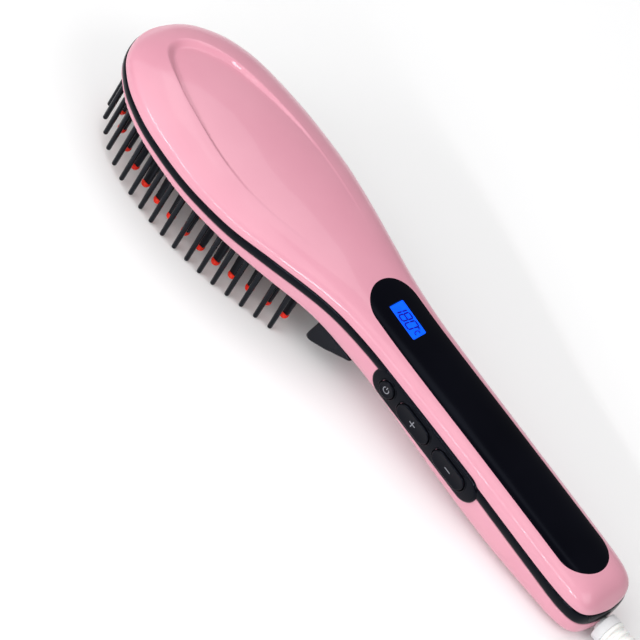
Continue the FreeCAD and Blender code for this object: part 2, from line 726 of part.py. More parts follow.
def walk(inset, pitch, x_end, start):
    """Evenly spaced points round the inset outline, both sides."""
    dense = inset_outline(inset, x_end, 90)
    n = len(dense) // 2
    side = dense[n:]                     # from the tip along +y
    acc, out, want = 0.0, [], start
    for (x0, y0), (x1, y1) in zip(side[:-1], side[1:]):
        seg = math.hypot(x1 - x0, y1 - y0)
        while acc + seg >= want:
            t = (want - acc) / seg
            out.append((x0 + (x1 - x0) * t, y0 + (y1 - y0) * t))
            want += pitch
        acc += seg
    return out


ring = walk(9.0, 7.6, 113.0, 3.6)
for x, y in ring:
    TEETH += [(x, y), (x, -y)]
for row, (x, ys) in enumerate([(27, (0,)), (38, (-9.5, 0, 9.5)), (49, (-5, 5)), (60, (-12, 0, 12)), (71, (-6, 6)),
                               (82, (-9.5, 0, 9.5)), (93, (-5, 5)), (104, (0,))]):
    for y in ys:
        TEETH.append((float(x), float(y)))

TL, TW = dim("tooth_len"), dim("tooth_wid")
TIP_Z, TIP_R = dim("tooth_tip_z"), dim("tip_rad")


def tooth(x, y):
    """Flat fin that narrows downwards, from the plate to just above its cap."""
    zt, zb = plate_z(x) + 0.6, TIP_Z + lift(x) + 2.2
    def ring_at(z, a, b):
        pts = []
        for k in range(16):
            t = 2 * math.pi * k / 16
            c, s = math.cos(t), math.sin(t)
            pts.append(Vector(x - XM + a / 2 * math.copysign(abs(c) ** 0.6, c), y + b / 2 * math.copysign(abs(s) ** 0.6, s), z))
        return Part.makePolygon(pts + [pts[0]])
    return Part.makeLoft([ring_at(zb, TL * 0.72, TW * 0.86), ring_at(zt, TL, TW)], True, True)


def cap(x, y):
    """Rounded heat-proof cap over the fin's end."""
    z0 = TIP_Z + lift(x)
    r = TIP_R
    pts = [Vector(0, 0, z0), Vector(r * 0.55, 0, z0 + 0.25), Vector(r * 0.88, 0, z0 + 0.85), Vector(r, 0, z0 + 1.6),
           Vector(r, 0, z0 + 2.9), Vector(0, 0, z0 + 2.9), Vector(0, 0, z0)]
    f = Part.Face(Part.makePolygon(pts))
    s = f.revolve(Vector(0, 0, 0), Vector(0, 0, 1), 360)
    s.translate(Vector(x - XM, y, 0))
    return s


teeth = feature("heating_teeth", Part.makeCompound([tooth(x, y) for x, y in TEETH]))
keep(teeth, "heating_teeth")
caps = feature("tooth_tips", Part.makeCompound([cap(x, y) for x, y in TEETH]))
keep(caps, "tooth_tips")

slots = feature("tooth_slots", Part.makeCompound([
    Part.makeBox(TL + 0.8, TW + 0.8, 30, Vector(x - XM - TL / 2 - 0.4, y - TW / 2 - 0.4, 12)) for x, y in TEETH]))
comb = cut("comb_plate", comb_blank, slots)
keep(comb, "comb_plate")

# long guard bristles round the edge, moulded into the comb plate
PINS = []
for x, y in walk(dim("pin_inset"), dim("pin_pitch"), 111.0, 3.2):
    PINS += [(x, y), (x, -y)]
PR = dim("pin_rad")


def bristle(x, y):
    zt, zb = belly.at(x) + 1.9, lift(x)
    pts = [Vector(0, 0, zb), Vector(PR * 0.5, 0, zb + 0.12), Vector(PR * 0.9, 0, zb + 0.75),
           Vector(PR * 0.92, 0, zb + 3.0), Vector(PR, 0, zb + 12.0), Vector(PR * 1.12, 0, zt), Vector(0, 0, zt),
           Vector(0, 0, zb)]
    s = Part.Face(Part.makePolygon(pts)).revolve(Vector(0, 0, 0), Vector(0, 0, 1), 360)
    s.translate(Vector(x - XM, y, 0))
    return s


pins = feature("guard_bristles", Part.makeCompound([bristle(x, y) for x, y in PINS]))
keep(pins, "guard_bristles")

# heater plate and what lies on it
hp = new_body("heater_plate_body")
sk = new_sketch(hp, "heater_plate_sketch", "XY_Plane")
pts = [(x - 64.0, y) for x, y in inset_outline(6.2, 114.0, 16)]
spl = Part.BSplineCurve()
spl.interpolate([Vector(a, b, 0) for a, b in pts])
i0 = sk.addGeometry(spl, False)
i1 = sk.addGeometry(Part.LineSegment(Vector(pts[-1][0], pts[-1][1], 0), Vector(pts[0][0], pts[0][1], 0)), False)
pad(hp, sk, ex("plate_thick"), name="heater_plate_pad")
hp.Placement = Placement(Vector(64.0 - XM, 0, plate_z(64.0)), Rotation(Vector(0, 1, 0), dim("plate_tilt")))
hp.setExpression("Placement.Rotation.Angle", ex("plate_tilt"))
keep(hp, "heater_plate")

PL_T = dim("plate_thick")


def on_plate(obj, x, y, lift):
    """Lies on the heater plate's upper face, lift above it."""
    for prop in ("Placement.Base.x", "Placement.Base.y", "Placement.Base.z"):
        obj.setExpression(prop, None)
    up = PL_T + lift
    obj.Placement = Placement(Vector(x - XM + math.sin(P_TILT) * up, y, plate_z(x) + math.cos(P_TILT) * up),
                              Rotation(Vector(0, 1, 0), dim("plate_tilt")))
    obj.setExpression("Placement.Rotation.Angle", ex("plate_tilt"))
    return obj


ptc1 = on_plate(plate_body("ptc_left", "36", "14", "2.0"), 56, -9.5, 0.0)
ptc2 = on_plate(plate_body("ptc_right", "36", "14", "2.0"), 56, 9.5, 0.0)
ptc = group("ptc_heaters", [ptc1, ptc2])
keep(ptc, "ptc_heaters")
mica = on_plate(plate_body("mica_body", "44", "36", "0.5"), 56, 0, 2.0)
keep(mica, "mica_sheet")
clamp_blank = on_plate(plate_body("clamp_blank", "50", "14", "1.0"), 56, 0, 2.5)
clamp_foot1 = on_plate(plate_body("clamp_foot_a", "3", "14", "2.5"), 32.5, 0, 0.0)
clamp_foot2 = on_plate(plate_body("clamp_foot_b", "3", "14", "2.5"), 79.5, 0, 0.0)
clamp_pad1 = on_plate(plate_body("clamp_pad_a", "9", "12", "1.0"), 27.5, 0, 0.0)
clamp_pad2 = on_plate(plate_body("clamp_pad_b", "9", "12", "1.0"), 84.5, 0, 0.0)
clamp_all = fuse("clamp_all", [clamp_blank, clamp_foot1, clamp_foot2, clamp_pad1, clamp_pad2])
sc_hole1 = on_plate(cyl("sc_hole_a", "1.15", "12", "0", "0", "0"), 27.0, 0, -4.0)
sc_hole2 = on_plate(cyl("sc_hole_b", "1.15", "12", "0", "0", "0"), 85.0, 0, -4.0)
sc_holes = fuse("sc_holes", [sc_hole1, sc_hole2])
clamp = cut("heater_clamp", clamp_all, sc_holes)
keep(clamp, "heater_clamp")


def screw(name, head_r, head_h, shank_r, shank_len):
    """Pan-head screw, head below z = 0, shank upwards, with a cross recess."""
    b = new_body(name)
    s1 = new_sketch(b, name + "_shank_sketch", "XY_Plane")
    circle(s1, shank_r)
    pad(b, s1, shank_len, name=name + "_shank")
    s2 = new_sketch(b, name + "_head_sketch", "XY_Plane")
    circle(s2, head_r)
    h = pad(b, s2, head_h, name=name + "_head")
    h.Reversed = True
    for j, (w, t) in enumerate((("%s" % head_r, "0.5"), ("0.5", "%s" % head_r))):
        s3 = new_sketch(b, "%s_cross%d_sketch" % (name, j), "XY_Plane", "-(%s)" % head_h)
        rect(s3, w, t)
        pocket(b, s3, "(%s) * 0.55" % head_h, True, name="%s_cross%d" % (name, j))
    return b


cs1 = screw("clamp_screw_a", "2.1", "1.2", "1.05", "2.1")
cs2 = screw("clamp_screw_b", "2.1", "1.2", "1.05", "2.1")
for o, xx in ((cs1, 27.0), (cs2, 85.0)):
    up = PL_T + 1.0
    o.Placement = Placement(Vector(xx - XM + math.sin(P_TILT) * up, 0, plate_z(xx) + math.cos(P_TILT) * up),
                            Rotation(Vector(0, 1, 0), dim("plate_tilt") + 180))
clamp_screws = group("clamp_screws", [cs1, cs2])
keep(clamp_screws, "clamp_screws")

fuse_body = new_body("thermal_fuse_body")
sk = new_sketch(fuse_body, "thermal_fuse_sketch", "YZ_Plane")
circle(sk, "1.9")
pad(fuse_body, sk, "11", name="thermal_fuse_pad")
fuse_body.Placement = Placement(Vector(88 - XM, -12, plate_z(88) + 2.0 + 2.1), Rotation(Vector(0, 1, 0), dim("plate_tilt")))
keep(fuse_body, "thermal_fuse")
ntc = new_body("ntc_body")
sk = new_sketch(ntc, "ntc_sketch", "YZ_Plane")
circle(sk, "1.3")
pad(ntc, sk, "7", name="ntc_pad")
ntc.Placement = Placement(Vector(90 - XM, 9, plate_z(90) + 2.0 + 1.5), Rotation(Vector(0, 1, 0), dim("plate_tilt")))
keep(ntc, "ntc_sensor")

# ------------------------------------------------------------------ neck guard: black wedge behind the teeth
wedge = new_body("neck_guard_body")
sk = new_sketch(wedge, "neck_guard_sketch", "XZ_Plane")
poly(sk, [(118.2 - XM, 8.6), (118.6 - XM, 7.5), (119.6 - XM, 6.9), (120.9 - XM, 7.1), (139.0 - XM, 14.5),
          (139.0 - XM, 24.0), (121.3 - XM, 24.0), (120.2 - XM, 19.0)])
pad(wedge, sk, "31", True, name="neck_guard_pad")
wedge_a = cut("wedge_a", wedge, outer_low)
wedge_holes = fuse("wedge_holes", [neck_bore, neck_sink])
wedge_col = feature("wedge_column", outline_face(2.9, 138.0, 0).extrude(Vector(0, 0, 40)))
wedge_b = common("wedge_b", wedge_a, wedge_col)
neck_guard = cut("neck_guard", wedge_b, wedge_holes)

# ------------------------------------------------------------------ bottom shell
# raised flat land that the butt rests on
land = new_body("rest_land")
sk = new_sketch(land, "rest_land_sketch", "XY_Plane")
slot(sk, ex("land_len"), ex("land_half"))
pad(land, sk, "1.3", name="rest_land_pad")
place(land, ex("land_x"), "0", "0")
comb_opening = feature("comb_opening", outline_face(2.15, COMB_END + 0.2, 5).extrude(Vector(0, 0, 40)))
GZ = ex("gland_z")
gland_hole = cyl("gland_hole", "Dims.gland_neck + Dims.gland_run", "20", "Dims.body_length - 9", "0", GZ, RX)
flange_room = cyl("flange_room", "Dims.gland_flange + Dims.gland_run", "4.6", "249.9", "0", GZ, RX)
low_tools = fuse("low_tools", [comb_opening, neck_bore, butt_bore, butt_sink, gland_hole, flange_room])
# hollow the half, join its boss and land, open it, then cut the side opening for the pod
doc.recompute()
low_shape = outer_low.Shape.cut(inner_low.Shape).fuse([boss_low_in.Shape, land.Shape])
low_shape = low_shape.cut(low_tools.Shape).cut(pod_column.Shape)
assert len(low_shape.Solids) == 1
bottom_shell = feature("bottom_shell_solid", low_shape.Solids[0])
keep(bottom_shell, "bottom_shell")
keep(neck_guard, "neck_guard")

band_raw = cut("band_raw", outer_band, inner_band)
band_tools = fuse("band_tools", [pod_column, gland_hole])
trim = cut("trim_band", band_raw, band_tools)
keep(trim, "trim_band")

hs1 = screw("neck_screw", "2.8", "1.7", "1.45", "13.0")
hs2 = screw("butt_screw", "2.8", "1.7", "1.45", "9.5")
place(hs1, NECK_X, "0", "14.6")
place(hs2, BUTT_X, "0", "3.5")
housing_screws = group("housing_screws", [hs1, hs2])
keep(housing_screws, "housing_screws")

# ------------------------------------------------------------------ boards and wires
board = plate_body("main_board_body", ex("board_len"), ex("board_wid"), ex("board_thick"))
# board top face runs through the two posts
slope = math.atan((28.3 - 21.4) / 54.0)
board.Placement = Placement(Vector(180.0 - XM, 0, (28.3 + 21.4) / 2 - dim("board_thick") / math.cos(slope)),
                            Rotation(Vector(0, 1, 0), math.degrees(slope)))
board_holes = fuse("board_holes", [cyl("bh_a", "1.2", "12", "153", "-3.6", "22"), cyl("bh_b", "1.2", "12", "207", "6", "15")])
main_pcb = cut("main_board", board, board_holes)
keep(main_pcb, "main_board")
bs1 = screw("board_screw_a", "1.9", "1.1", "0.85", "5.5")
bs2 = screw("board_screw_b", "1.9", "1.1", "0.85", "5.5")
place(bs1, "153", "-3.6", "26.2")
place(bs2, "207", "6", "19.3")
board_screws = group("board_screws", [bs1, bs2])
keep(board_screws, "board_screws")

relay = plate_body("relay_body", "14", "9", "7")
relay.Placement = Placement(Vector(193 - XM, 0, 14.3), Rotation(Vector(0, 1, 0), 7.2))
keep(relay, "triac_module")

hw = []
for dy in (-1.2, 1.2):
    s_, _, _ = tube([(84 + 6 - XM, dy * 3.0, 33.6), (108 - XM, dy * 2.2, 32.0), (130 - XM, dy * 1.6 + 6.5, 31.2),
                     (144 - XM, dy + 7.5, 30.6), (155 - XM, dy + 7.5, 29.0)], 0.8)
    hw.append(s_)
heater_wires = feature("heater_wires", Part.makeCompound(hw))
keep(heater_wires, "heater_wires")
mw = []
for dy in (-1.6, 1.6):
    s_, _, _ = tube([(205 - XM, dy - 6.4, 18.6), (214 - XM, dy * 0.8 - 7.8, 16.2), (228 - XM, dy * 0.8 - 7.6, 12.4),
                     (240 - XM, dy - 4.2, 8.6), (249.6 - XM, dy, 6.4)], 0.9)
    mw.append(s_)
mains_wires = feature("mains_wires", Part.makeCompound(mw))
keep(mains_wires, "mains_wires")

# ------------------------------------------------------------------ swivel gland and strain relief
sock_block = box("sock_block", "9.4", "18", "11.6", "248.6", "-9", "0.6")
sock_in = common("sock_in", sock_block, inner_low)
sock_bore = cyl("sock_bore", "Dims.gland_flange + Dims.gland_run", "4.6", "249.9", "0", GZ, RX)
sock_thru = cyl("sock_thru", "Dims.gland_neck + Dims.gland_run", "20", "245", "0", GZ, RX)
sock_tools = fuse("sock_tools", [sock_bore, sock_thru])
socket = cut("swivel_socket", sock_in, sock_tools)
keep(socket, "swivel_socket")

sw_flange = cyl("sw_flange", ex("gland_flange"), "3.6", "250.4", "0", GZ, RX)
sw_neck = cyl("sw_neck", ex("gland_neck"), "13.8", "250.4", "0", GZ, RX)
sw_collar = cyl("sw_collar", ex("gland_collar"), "Dims.relief_start - Dims.body_length - 0.7",
                "Dims.body_length + 0.7", "0", GZ, RX)
swivel = fuse("cord_swivel", [sw_flange, sw_neck, sw_collar])
keep(swivel, "cord_swivel")

RS, RE = dim("relief_start"), dim("relief_end")
cone = doc.addObject("Part::Cone", "relief_cone")
cone.Radius1, cone.Radius2 = 4.6, 3.8
cone.setExpression("Height", "Dims.relief_end - Dims.relief_start")
place(cone, ex("relief_start"), "0", GZ, RX)
rings = []
NR = 11
for i in range(NR):
    r = 5.5 - 1.2 * i / (NR - 1)
    rings.append(cyl("rib_%02d" % i, str(round(r, 3)), "1.7", "Dims.relief_start + %.3f" % (i * 3.05), "0", GZ, RX))
relief_solid = fuse("relief_solid", [cone] + rings)
relief_bore = cyl("relief_bore", "Dims.cord_dia / 2 + 0.35", "12", "Dims.relief_end - 6", "0", GZ, RX)
relief = cut("strain_relief", relief_solid, relief_bore)
keep(relief, "strain_relief")

# ------------------------------------------------------------------ cord, coil, tie and plug
CR = dim("cord_dia") / 2
CX, CY, R0 = dim("coil_x"), dim("coil_y"), dim("coil_turn")
GZV = dim("gland_z")
PX0, PY0, PZ0 = dim("plug_x"), dim("plug_y"), dim("plug_z")
# the cord leaves the strain relief, sinks to the table and runs up to the coil's outer turn
ROUTE = [(RE - 5.5, 0.0, GZV), (RE + 6.0, -0.05, 6.0), (RE + 18.0, -3.6, 4.2), (RE + 30.8, -12.0, 3.1), (RE + 43.4, -22.4, 3.05)]
# the end of the cord leaves the coil's upper layer and sinks to the plug beside it
TAIL = [(CX - 16.6, CY + 43.0, 9.1), (CX - 28.2, CY + 36.6, 8.8), (CX - 38.0, CY + 33.3, 7.8), (PX0 + 19.5, PY0, PZ0)]


def cord_tube(name, route):
    solid, radii, length = tube([(x - XM, y, z) for x, y, z in route], CR)
    print(name, "radii", [round(r, 1) for r in radii], "length", round(length, 1),
          "volume ratio", round(solid.Volume / (math.pi * CR * CR * length), 4))
    return feature(name, solid)


cord = cord_tube("power_cord", ROUTE)
keep(cord, "power_cord")
cord_end = cord_tube("cord_tail", TAIL)
keep(cord_end, "cord_tail")

coil_in, coil_out, coil_h = dim("coil_in"), dim("coil_out"), dim("coil_tall")
prof = [Vector(coil_in + 2.2, 0, 0), Vector(coil_out - 2.2, 0, 0), Vector(coil_out, 0, 2.2), Vector(coil_out, 0, coil_h - 2.2),
        Vector(coil_out - 2.2, 0, coil_h), Vector(coil_in + 2.2, 0, coil_h), Vector(coil_in, 0, coil_h - 2.2), Vector(coil_in, 0, 2.2)]
ring_s = Part.Face(Part.makePolygon(prof + [prof[0]])).revolve(Vector(0, 0, 0), Vector(0, 0, 1), 360)
ring_s.translate(Vector(CX - XM, CY, 0))
coil_blank = feature("coil_blank", ring_s)

# strap round the coil's section, on the side towards the brush
tie_out = box("tie_out", "Dims.coil_out - Dims.coil_in + 2.4", "7", "Dims.coil_tall + 1.2",
              "Dims.coil_x - Dims.coil_out - 1.2", "Dims.coil_y - 3.5", "0")
tie_in = box("tie_in", "Dims.coil_out - Dims.coil_in", "9", "Dims.coil_tall - 0.8",
             "Dims.coil_x - Dims.coil_out", "Dims.coil_y - 4.5", "0.8")
tie = cut("cord_tie", tie_out, tie_in)
keep(tie, "cord_tie")
coil = cut("cord_coil", coil_blank, tie)
keep(coil, "cord_coil")

# plug lies on the table beside the coil, pins towards -X
BACK = Rotation(Vector(0, 1, 0), -90)      # local Z -> -X
plug = new_body("plug_body_solid")
sk = new_sketch(plug, "plug_sketch", "YZ_Plane")
slot(sk, "Dims.prong_gap + 2.0", ex("plug_z"))
pad(plug, sk, ex("plug_len"), name="plug_pad").Reversed = True
place(plug, ex("plug_x"), ex("plug_y"), ex("plug_z"))
relief2 = doc.addObject("Part::Cone", "plug_relief")
relief2.Radius1, relief2.Radius2, relief2.Height = 6.2, 3.9, 22
place(relief2, ex("plug_x"), ex("plug_y"), ex("plug_z"), RX)
plug_all = fuse("plug_all", [plug, relief2])
plug_bore = cyl("plug_bore", "Dims.cord_dia / 2 + 0.02", "6", "Dims.plug_x + 19.5", ex("plug_y"), ex("plug_z"), RX)
# each pin has a thinner root that is moulded into the body
prongs, roots = [], []
for j, sgn in enumerate((-1, 1)):
    py = "Dims.plug_y + (%d) * Dims.prong_gap / 2" % sgn
    free = cyl("prong_%d_free" % j, ex("prong_rad"), ex("prong_len"), "Dims.plug_x - Dims.plug_len",
               py, ex("plug_z"), BACK)
    root = cyl("prong_%d_root" % j, "Dims.prong_rad - 0.5", "8", "Dims.plug_x - Dims.plug_len + 8",
               py, ex("plug_z"), BACK)
    roots.append(root)
    prongs.append(fuse("prong_%d" % j, [free, root]))
pins2 = group("plug_pins", prongs)
plug_holes = fuse("plug_holes", [plug_bore] + roots)
plug_body = cut("plug_body", plug_all, plug_holes)
keep(plug_body, "plug_body")
keep(pins2, "plug_pins")

# ------------------------------------------------------------------ recompute, test, export
doc.recompute()
bad = []
for o in doc.Objects:
    if any(s in ("Invalid", "Error") for s in o.State):
        bad.append((o.Name, o.State))
for o, label in NODES:
    s = o.Shape
    if s.isNull() or not s.isValid() or s.Volume <= 0:
        bad.append((label, "shape", s.isNull(), (not s.isNull()) and s.isValid()))
for b in bad:
    print("BAD", b)
if bad:
    raise SystemExit("the model has failed objects")
labels = [l for _, l in NODES]
assert len(set(labels)) == len(labels) and len(labels) <= 60
for o, label in NODES:
    s = o.Shape
    bb = s.BoundBox
    print("%-24s solids %3d  vol %9.1f  x %.1f..%.1f y %.1f..%.1f z %.2f..%.2f" % (
        label, len(s.Solids), s.Volume, bb.XMin, bb.XMax, bb.YMin, bb.YMax, bb.ZMin, bb.ZMax))
    s.exportStep("parts/%s.step" % label)
print("nodes", len(NODES), "teeth", len(TEETH), "pins", len(PINS))
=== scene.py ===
import math
import bpy
import numpy as np
from mathutils import Matrix, Vector
from mathutils.geometry import delaunay_2d_cdt
from mathutils.kdtree import KDTree


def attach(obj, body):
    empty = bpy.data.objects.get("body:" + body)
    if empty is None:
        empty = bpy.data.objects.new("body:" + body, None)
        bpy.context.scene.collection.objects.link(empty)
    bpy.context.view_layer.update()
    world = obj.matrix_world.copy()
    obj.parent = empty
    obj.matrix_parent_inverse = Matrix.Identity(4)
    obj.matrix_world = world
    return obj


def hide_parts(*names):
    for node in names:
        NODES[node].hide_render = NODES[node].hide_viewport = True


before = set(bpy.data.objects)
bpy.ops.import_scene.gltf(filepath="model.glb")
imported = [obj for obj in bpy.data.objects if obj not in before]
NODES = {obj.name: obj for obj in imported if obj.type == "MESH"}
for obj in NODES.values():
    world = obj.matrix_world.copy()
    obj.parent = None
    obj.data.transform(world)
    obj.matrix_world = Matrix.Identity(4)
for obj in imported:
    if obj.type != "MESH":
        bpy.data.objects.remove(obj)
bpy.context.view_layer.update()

scene = bpy.context.scene

# All tables are in millimetres and "x" runs from the head's tip; X in the frame is x - XM.
L, XM = 263.0, 150.5
PI = math.pi


def row_frame(x, y, z):
    """Station coordinates in millimetres to the row frame in metres."""
    return ((x - XM) / 1000.0, y / 1000.0, z / 1000.0)


# ============================================================ camera
RIGHT = Vector((0.6436, 0.6631, 0.3818))
UP = Vector((-0.7234, 0.3645, 0.5866))
BACK = Vector((0.2493, -0.6539, 0.7142))


def make_camera():
    data = bpy.data.cameras.new("view_camera")
    cam = bpy.data.objects.new("view_camera", data)
    scene.collection.objects.link(cam)
    distance = 3.4
    data.sensor_width = 36.0
    data.lens = 36.0 * (2.872 * distance * 1000.0) / 640.0
    target = Vector(row_frame(120.3, -16.2, 19.6))
    back = BACK.normalized()
    right = (RIGHT - back * RIGHT.dot(back)).normalized()
    up = back.cross(right)
    m = Matrix((right, up, back)).transposed().to_4x4()
    m.translation = target + back * distance
    cam.matrix_world = m
    data.clip_start, data.clip_end = 0.05, 20.0
    scene.camera = cam
    return cam


make_camera()


# ============================================================ mains lead
CORD_R = 3.0
COIL_X, COIL_Y = 372.0, 14.0


def coil_points():
    """Two flat layers of turns: inwards on the table, up over the inner turn, outwards again."""
    per_turn = 16
    fit = 8.0 / (6.0 + 2.0 * math.cos(2 * PI / per_turn))              # the spline runs inside its control ring
    outer, inner, climb = 46.1, 23.0, 0.10
    a0, a1 = math.radians(-125.0), math.radians(122.0)
    total = (a1 - a0) / (2 * PI) + 7.0
    half = total / 2
    n = int(round(total * per_turn))
    pts = []
    for k in range(n + 1):
        turn = total * k / n
        if turn < half - climb:
            r = outer - (outer - inner) * turn / (half - climb)
            z = 3.03
        elif turn < half + climb:
            q = (turn - half + climb) / (2 * climb)
            r = inner
            z = 3.03 + 6.05 * (q * q * (3 - 2 * q))
        else:
            r = inner + (outer - inner) * (turn - half - climb) / (half - climb)
            z = 9.08
        ang = a0 + 2 * PI * turn
        away = (ang - PI) % (2 * PI)
        away = min(away, 2 * PI - away)
        z += 0.5 * math.exp(-(away / 0.22) ** 2)                       # the turns ride over the strap
        pts.append((COIL_X + r * fit * math.cos(ang), COIL_Y + r * fit * math.sin(ang), z))
    return pts


ROUTE = [(295.5, 0.0, 6.2), (307.0, -0.05, 6.0), (319.0, -3.6, 4.2), (331.8, -12.0, 3.1)]
TAIL = [(336.3, 48.3, 8.3), (323.0, 47.2, 7.2)]


def nurbs(name, points, radius_mm, resolution=6, ring=5):
    curve = bpy.data.curves.new(name, "CURVE")
    curve.dimensions = "3D"
    curve.resolution_u = resolution
    curve.bevel_depth = radius_mm / 1000.0
    curve.bevel_resolution = ring
    curve.use_fill_caps = True
    s = curve.splines.new("NURBS")
    s.points.add(len(points) - 1)
    for p, q in zip(s.points, points):
        p.co = (*row_frame(*q), 1.0)
    s.order_u = 3
    s.use_endpoint_u = True
    s.use_smooth = True
    obj = bpy.data.objects.new(name, curve)
    scene.collection.objects.link(obj)
    return obj


cord_points = ROUTE + coil_points() + TAIL
cord = nurbs("mains_lead", cord_points, CORD_R)


# ============================================================ brush tables
HALF_WIDTH = [(0, 0), (3, 12.2), (6, 16.8), (10, 20.5), (19, 26.1), (36, 30.8), (57, 32.3), (76, 31.0), (97, 26.2),
              (118, 20.4), (128, 18.2), (149, 16.2), (184, 15.7), (236, 15.5), (246, 15.3), (251, 15.0), (255, 14.4),
              (258, 13.4), (260, 11.9), (261.5, 9.4), (262.5, 5.6), (263, 0)]
SEAM = [(0, 33.2), (21, 32.2), (38, 31.0), (58, 29.9), (76, 29.6), (97, 30.0), (118, 29.9), (128, 28.9), (149, 26.4),
        (184, 21.8), (210, 18.3), (236, 14.9), (250, 13.1), (263, 11.5)]
TRIM_HEIGHT = [(0, 3.2), (38, 3.6), (76, 3.8), (97, 4.4), (118, 4.0), (149, 3.8), (184, 4.0), (236, 4.4), (250, 5.2),
               (263, 5.8)]
CROWN = [(0, 0), (1, 2.8), (3, 5.0), (6, 7.1), (12, 9.7), (20, 11.9), (30, 13.2), (40, 13.5), (58, 12.9), (76, 11.7),
         (97, 10.5), (118, 9.7), (135, 9.0), (149, 8.6), (166, 8.9), (184, 9.5), (210, 10.2), (236, 10.7), (250, 11.0),
         (255, 10.6), (259, 9.0), (261.5, 6.0), (262.5, 3.5), (263, 0)]
BELLY = [(0, 30.4), (10, 29.6), (21, 27.8), (42, 25.4), (58, 24.0), (80, 22.9), (95, 21.7), (110, 20.8), (120, 19.2),
         (131, 15.8), (149, 11.8), (167, 8.1), (184, 4.8), (205, 1.8), (220, 0.5), (230, 0.35), (249, 0.35), (256, 0.7),
         (260, 1.6), (262, 4.0), (263, 8.0)]
POWER_TOP = [(0, 2.1), (60, 2.15), (118, 2.3), (150, 2.7), (236, 2.9), (263, 2.6)]
POWER_LOW = [(0, 8), (100, 8), (125, 5), (150, 3.6), (236, 3.6), (263, 3.4)]

FF = np.linspace(0, PI, 6001)
STEP = FF[1] - FF[0]


def angle(x):
    return np.arccos(np.clip(1 - 2 * np.asarray(x, float) / L, -1, 1))


def monotone(rows):
    """Monotone cubic through the rows, on the dense angle grid."""
    u = angle([r[0] for r in rows])
    v = np.array([r[1] for r in rows], float)
    h = np.diff(u)
    d = np.diff(v) / h
    m = np.zeros(len(v))
    m[0], m[-1] = d[0], d[-1]
    for i in range(1, len(v) - 1):
        if d[i - 1] * d[i] > 0:
            a, b = 2 * h[i] + h[i - 1], h[i] + 2 * h[i - 1]
            m[i] = (a + b) / (a / d[i - 1] + b / d[i])
    k = np.clip(np.searchsorted(u, FF, side="right") - 1, 0, len(h) - 1)
    s = (FF - u[k]) / h[k]
    return ((1 + 2 * s) * (1 - s) ** 2 * v[k] + s * (1 - s) ** 2 * h[k] * m[k]
            + s * s * (3 - 2 * s) * v[k + 1] + s * s * (s - 1) * h[k] * m[k + 1])


def soften(v, sigma, odd):
    """Gaussian smoothing along the angle; odd values pass through zero at both ends."""
    n = int(4 * sigma / STEP)
    kernel = np.exp(-0.5 * (np.arange(-n, n + 1) * STEP / sigma) ** 2)
    kernel /= kernel.sum()
    sign = -1.0 if odd else 1.0
    wide = np.concatenate([sign * v[n:0:-1], v, sign * v[-2:-n - 2:-1]])
    return np.convolve(wide, kernel, mode="valid")


T_W = soften(monotone(HALF_WIDTH), 0.026, True)
T_SEAM = soften(monotone(SEAM), 0.05, False)
T_TH = soften(monotone(TRIM_HEIGHT), 0.05, False)
T_CROWN = monotone(CROWN)
T_BELLY = soften(monotone(BELLY), 0.03, False)
T_PT = soften(monotone(POWER_TOP), 0.08, False)
T_PL = soften(monotone(POWER_LOW), 0.06, False)
T_X = L * (1 - np.cos(FF)) / 2


def at(table, x):
    return np.interp(angle(x), FF, table)


def ramp_ends(v, f1):
    out = v.copy()
    lo, hi = FF < f1, FF > PI - f1
    out[lo] = np.interp(f1, FF, v) * FF[lo] / f1
    out[hi] = np.interp(PI - f1, FF, v) * (PI - FF[hi]) / f1
    return out


def smoothstep(t):
    t = np.clip(t, 0, 1)
    return t * t * (3 - 2 * t)


# ============================================================ sunken face on the head
FACE_HALF = [(10.6, 0.0), (11.1, 2.9), (12.6, 5.6), (15.5, 8.3), (19.5, 10.6), (24, 12.5), (32, 15.1), (43, 17.4), (53, 19.0),
             (62, 19.8), (72, 19.8), (83, 18.6), (95, 16.2), (107, 12.9), (116, 8.6), (120, 4.2), (121, 0.0)]


def face_outline(count=220):
    xs = np.array([p[0] for p in FACE_HALF])
    hs = np.array([p[1] for p in FACE_HALF])
    pts = np.concatenate([np.stack([xs, hs], 1), np.stack([xs, -hs], 1)[-2:0:-1]])
    # closed Catmull-Rom, then evenly spaced
    n = len(pts)
    fine = []
    for i in range(n):
        p0, p1, p2, p3 = pts[i - 1], pts[i], pts[(i + 1) % n], pts[(i + 2) % n]
        for t in np.linspace(0, 1, 12, endpoint=False):
            fine.append(0.5 * ((2 * p1) + (-p0 + p2) * t + (2 * p0 - 5 * p1 + 4 * p2 - p3) * t * t
                               + (-p0 + 3 * p1 - 3 * p2 + p3) * t ** 3))
    fine = np.array(fine)
    for _ in range(6):
        fine = (np.roll(fine, 1, 0) + 2 * fine + np.roll(fine, -1, 0)) / 4
    return resample(fine, count, closed=True)


def resample(p, count, closed=False):
    q = np.vstack([p, p[:1]]) if closed else p
    s = np.concatenate([[0], np.cumsum(np.linalg.norm(np.diff(q, axis=0), axis=1))])
    t = np.linspace(0, s[-1], count + 1)[:-1] if closed else np.linspace(0, s[-1], count)
    return np.stack([np.interp(t, s, q[:, k]) for k in range(q.shape[1])], 1)


def inside_loop(p, loop):
    """Even-odd test of points (N,2) against a closed loop (M,2)."""
    inside = np.zeros(len(p), bool)
    a, b = loop, np.roll(loop, -1, 0)
    for (x0, y0), (x1, y1) in zip(a, b):
        if y0 == y1:
            continue
        hit = (y0 > p[:, 1]) != (y1 > p[:, 1])
        xi = x0 + (p[:, 1] - y0) * (x1 - x0) / (y1 - y0)
        inside ^= hit & (p[:, 0] < xi)
    return inside


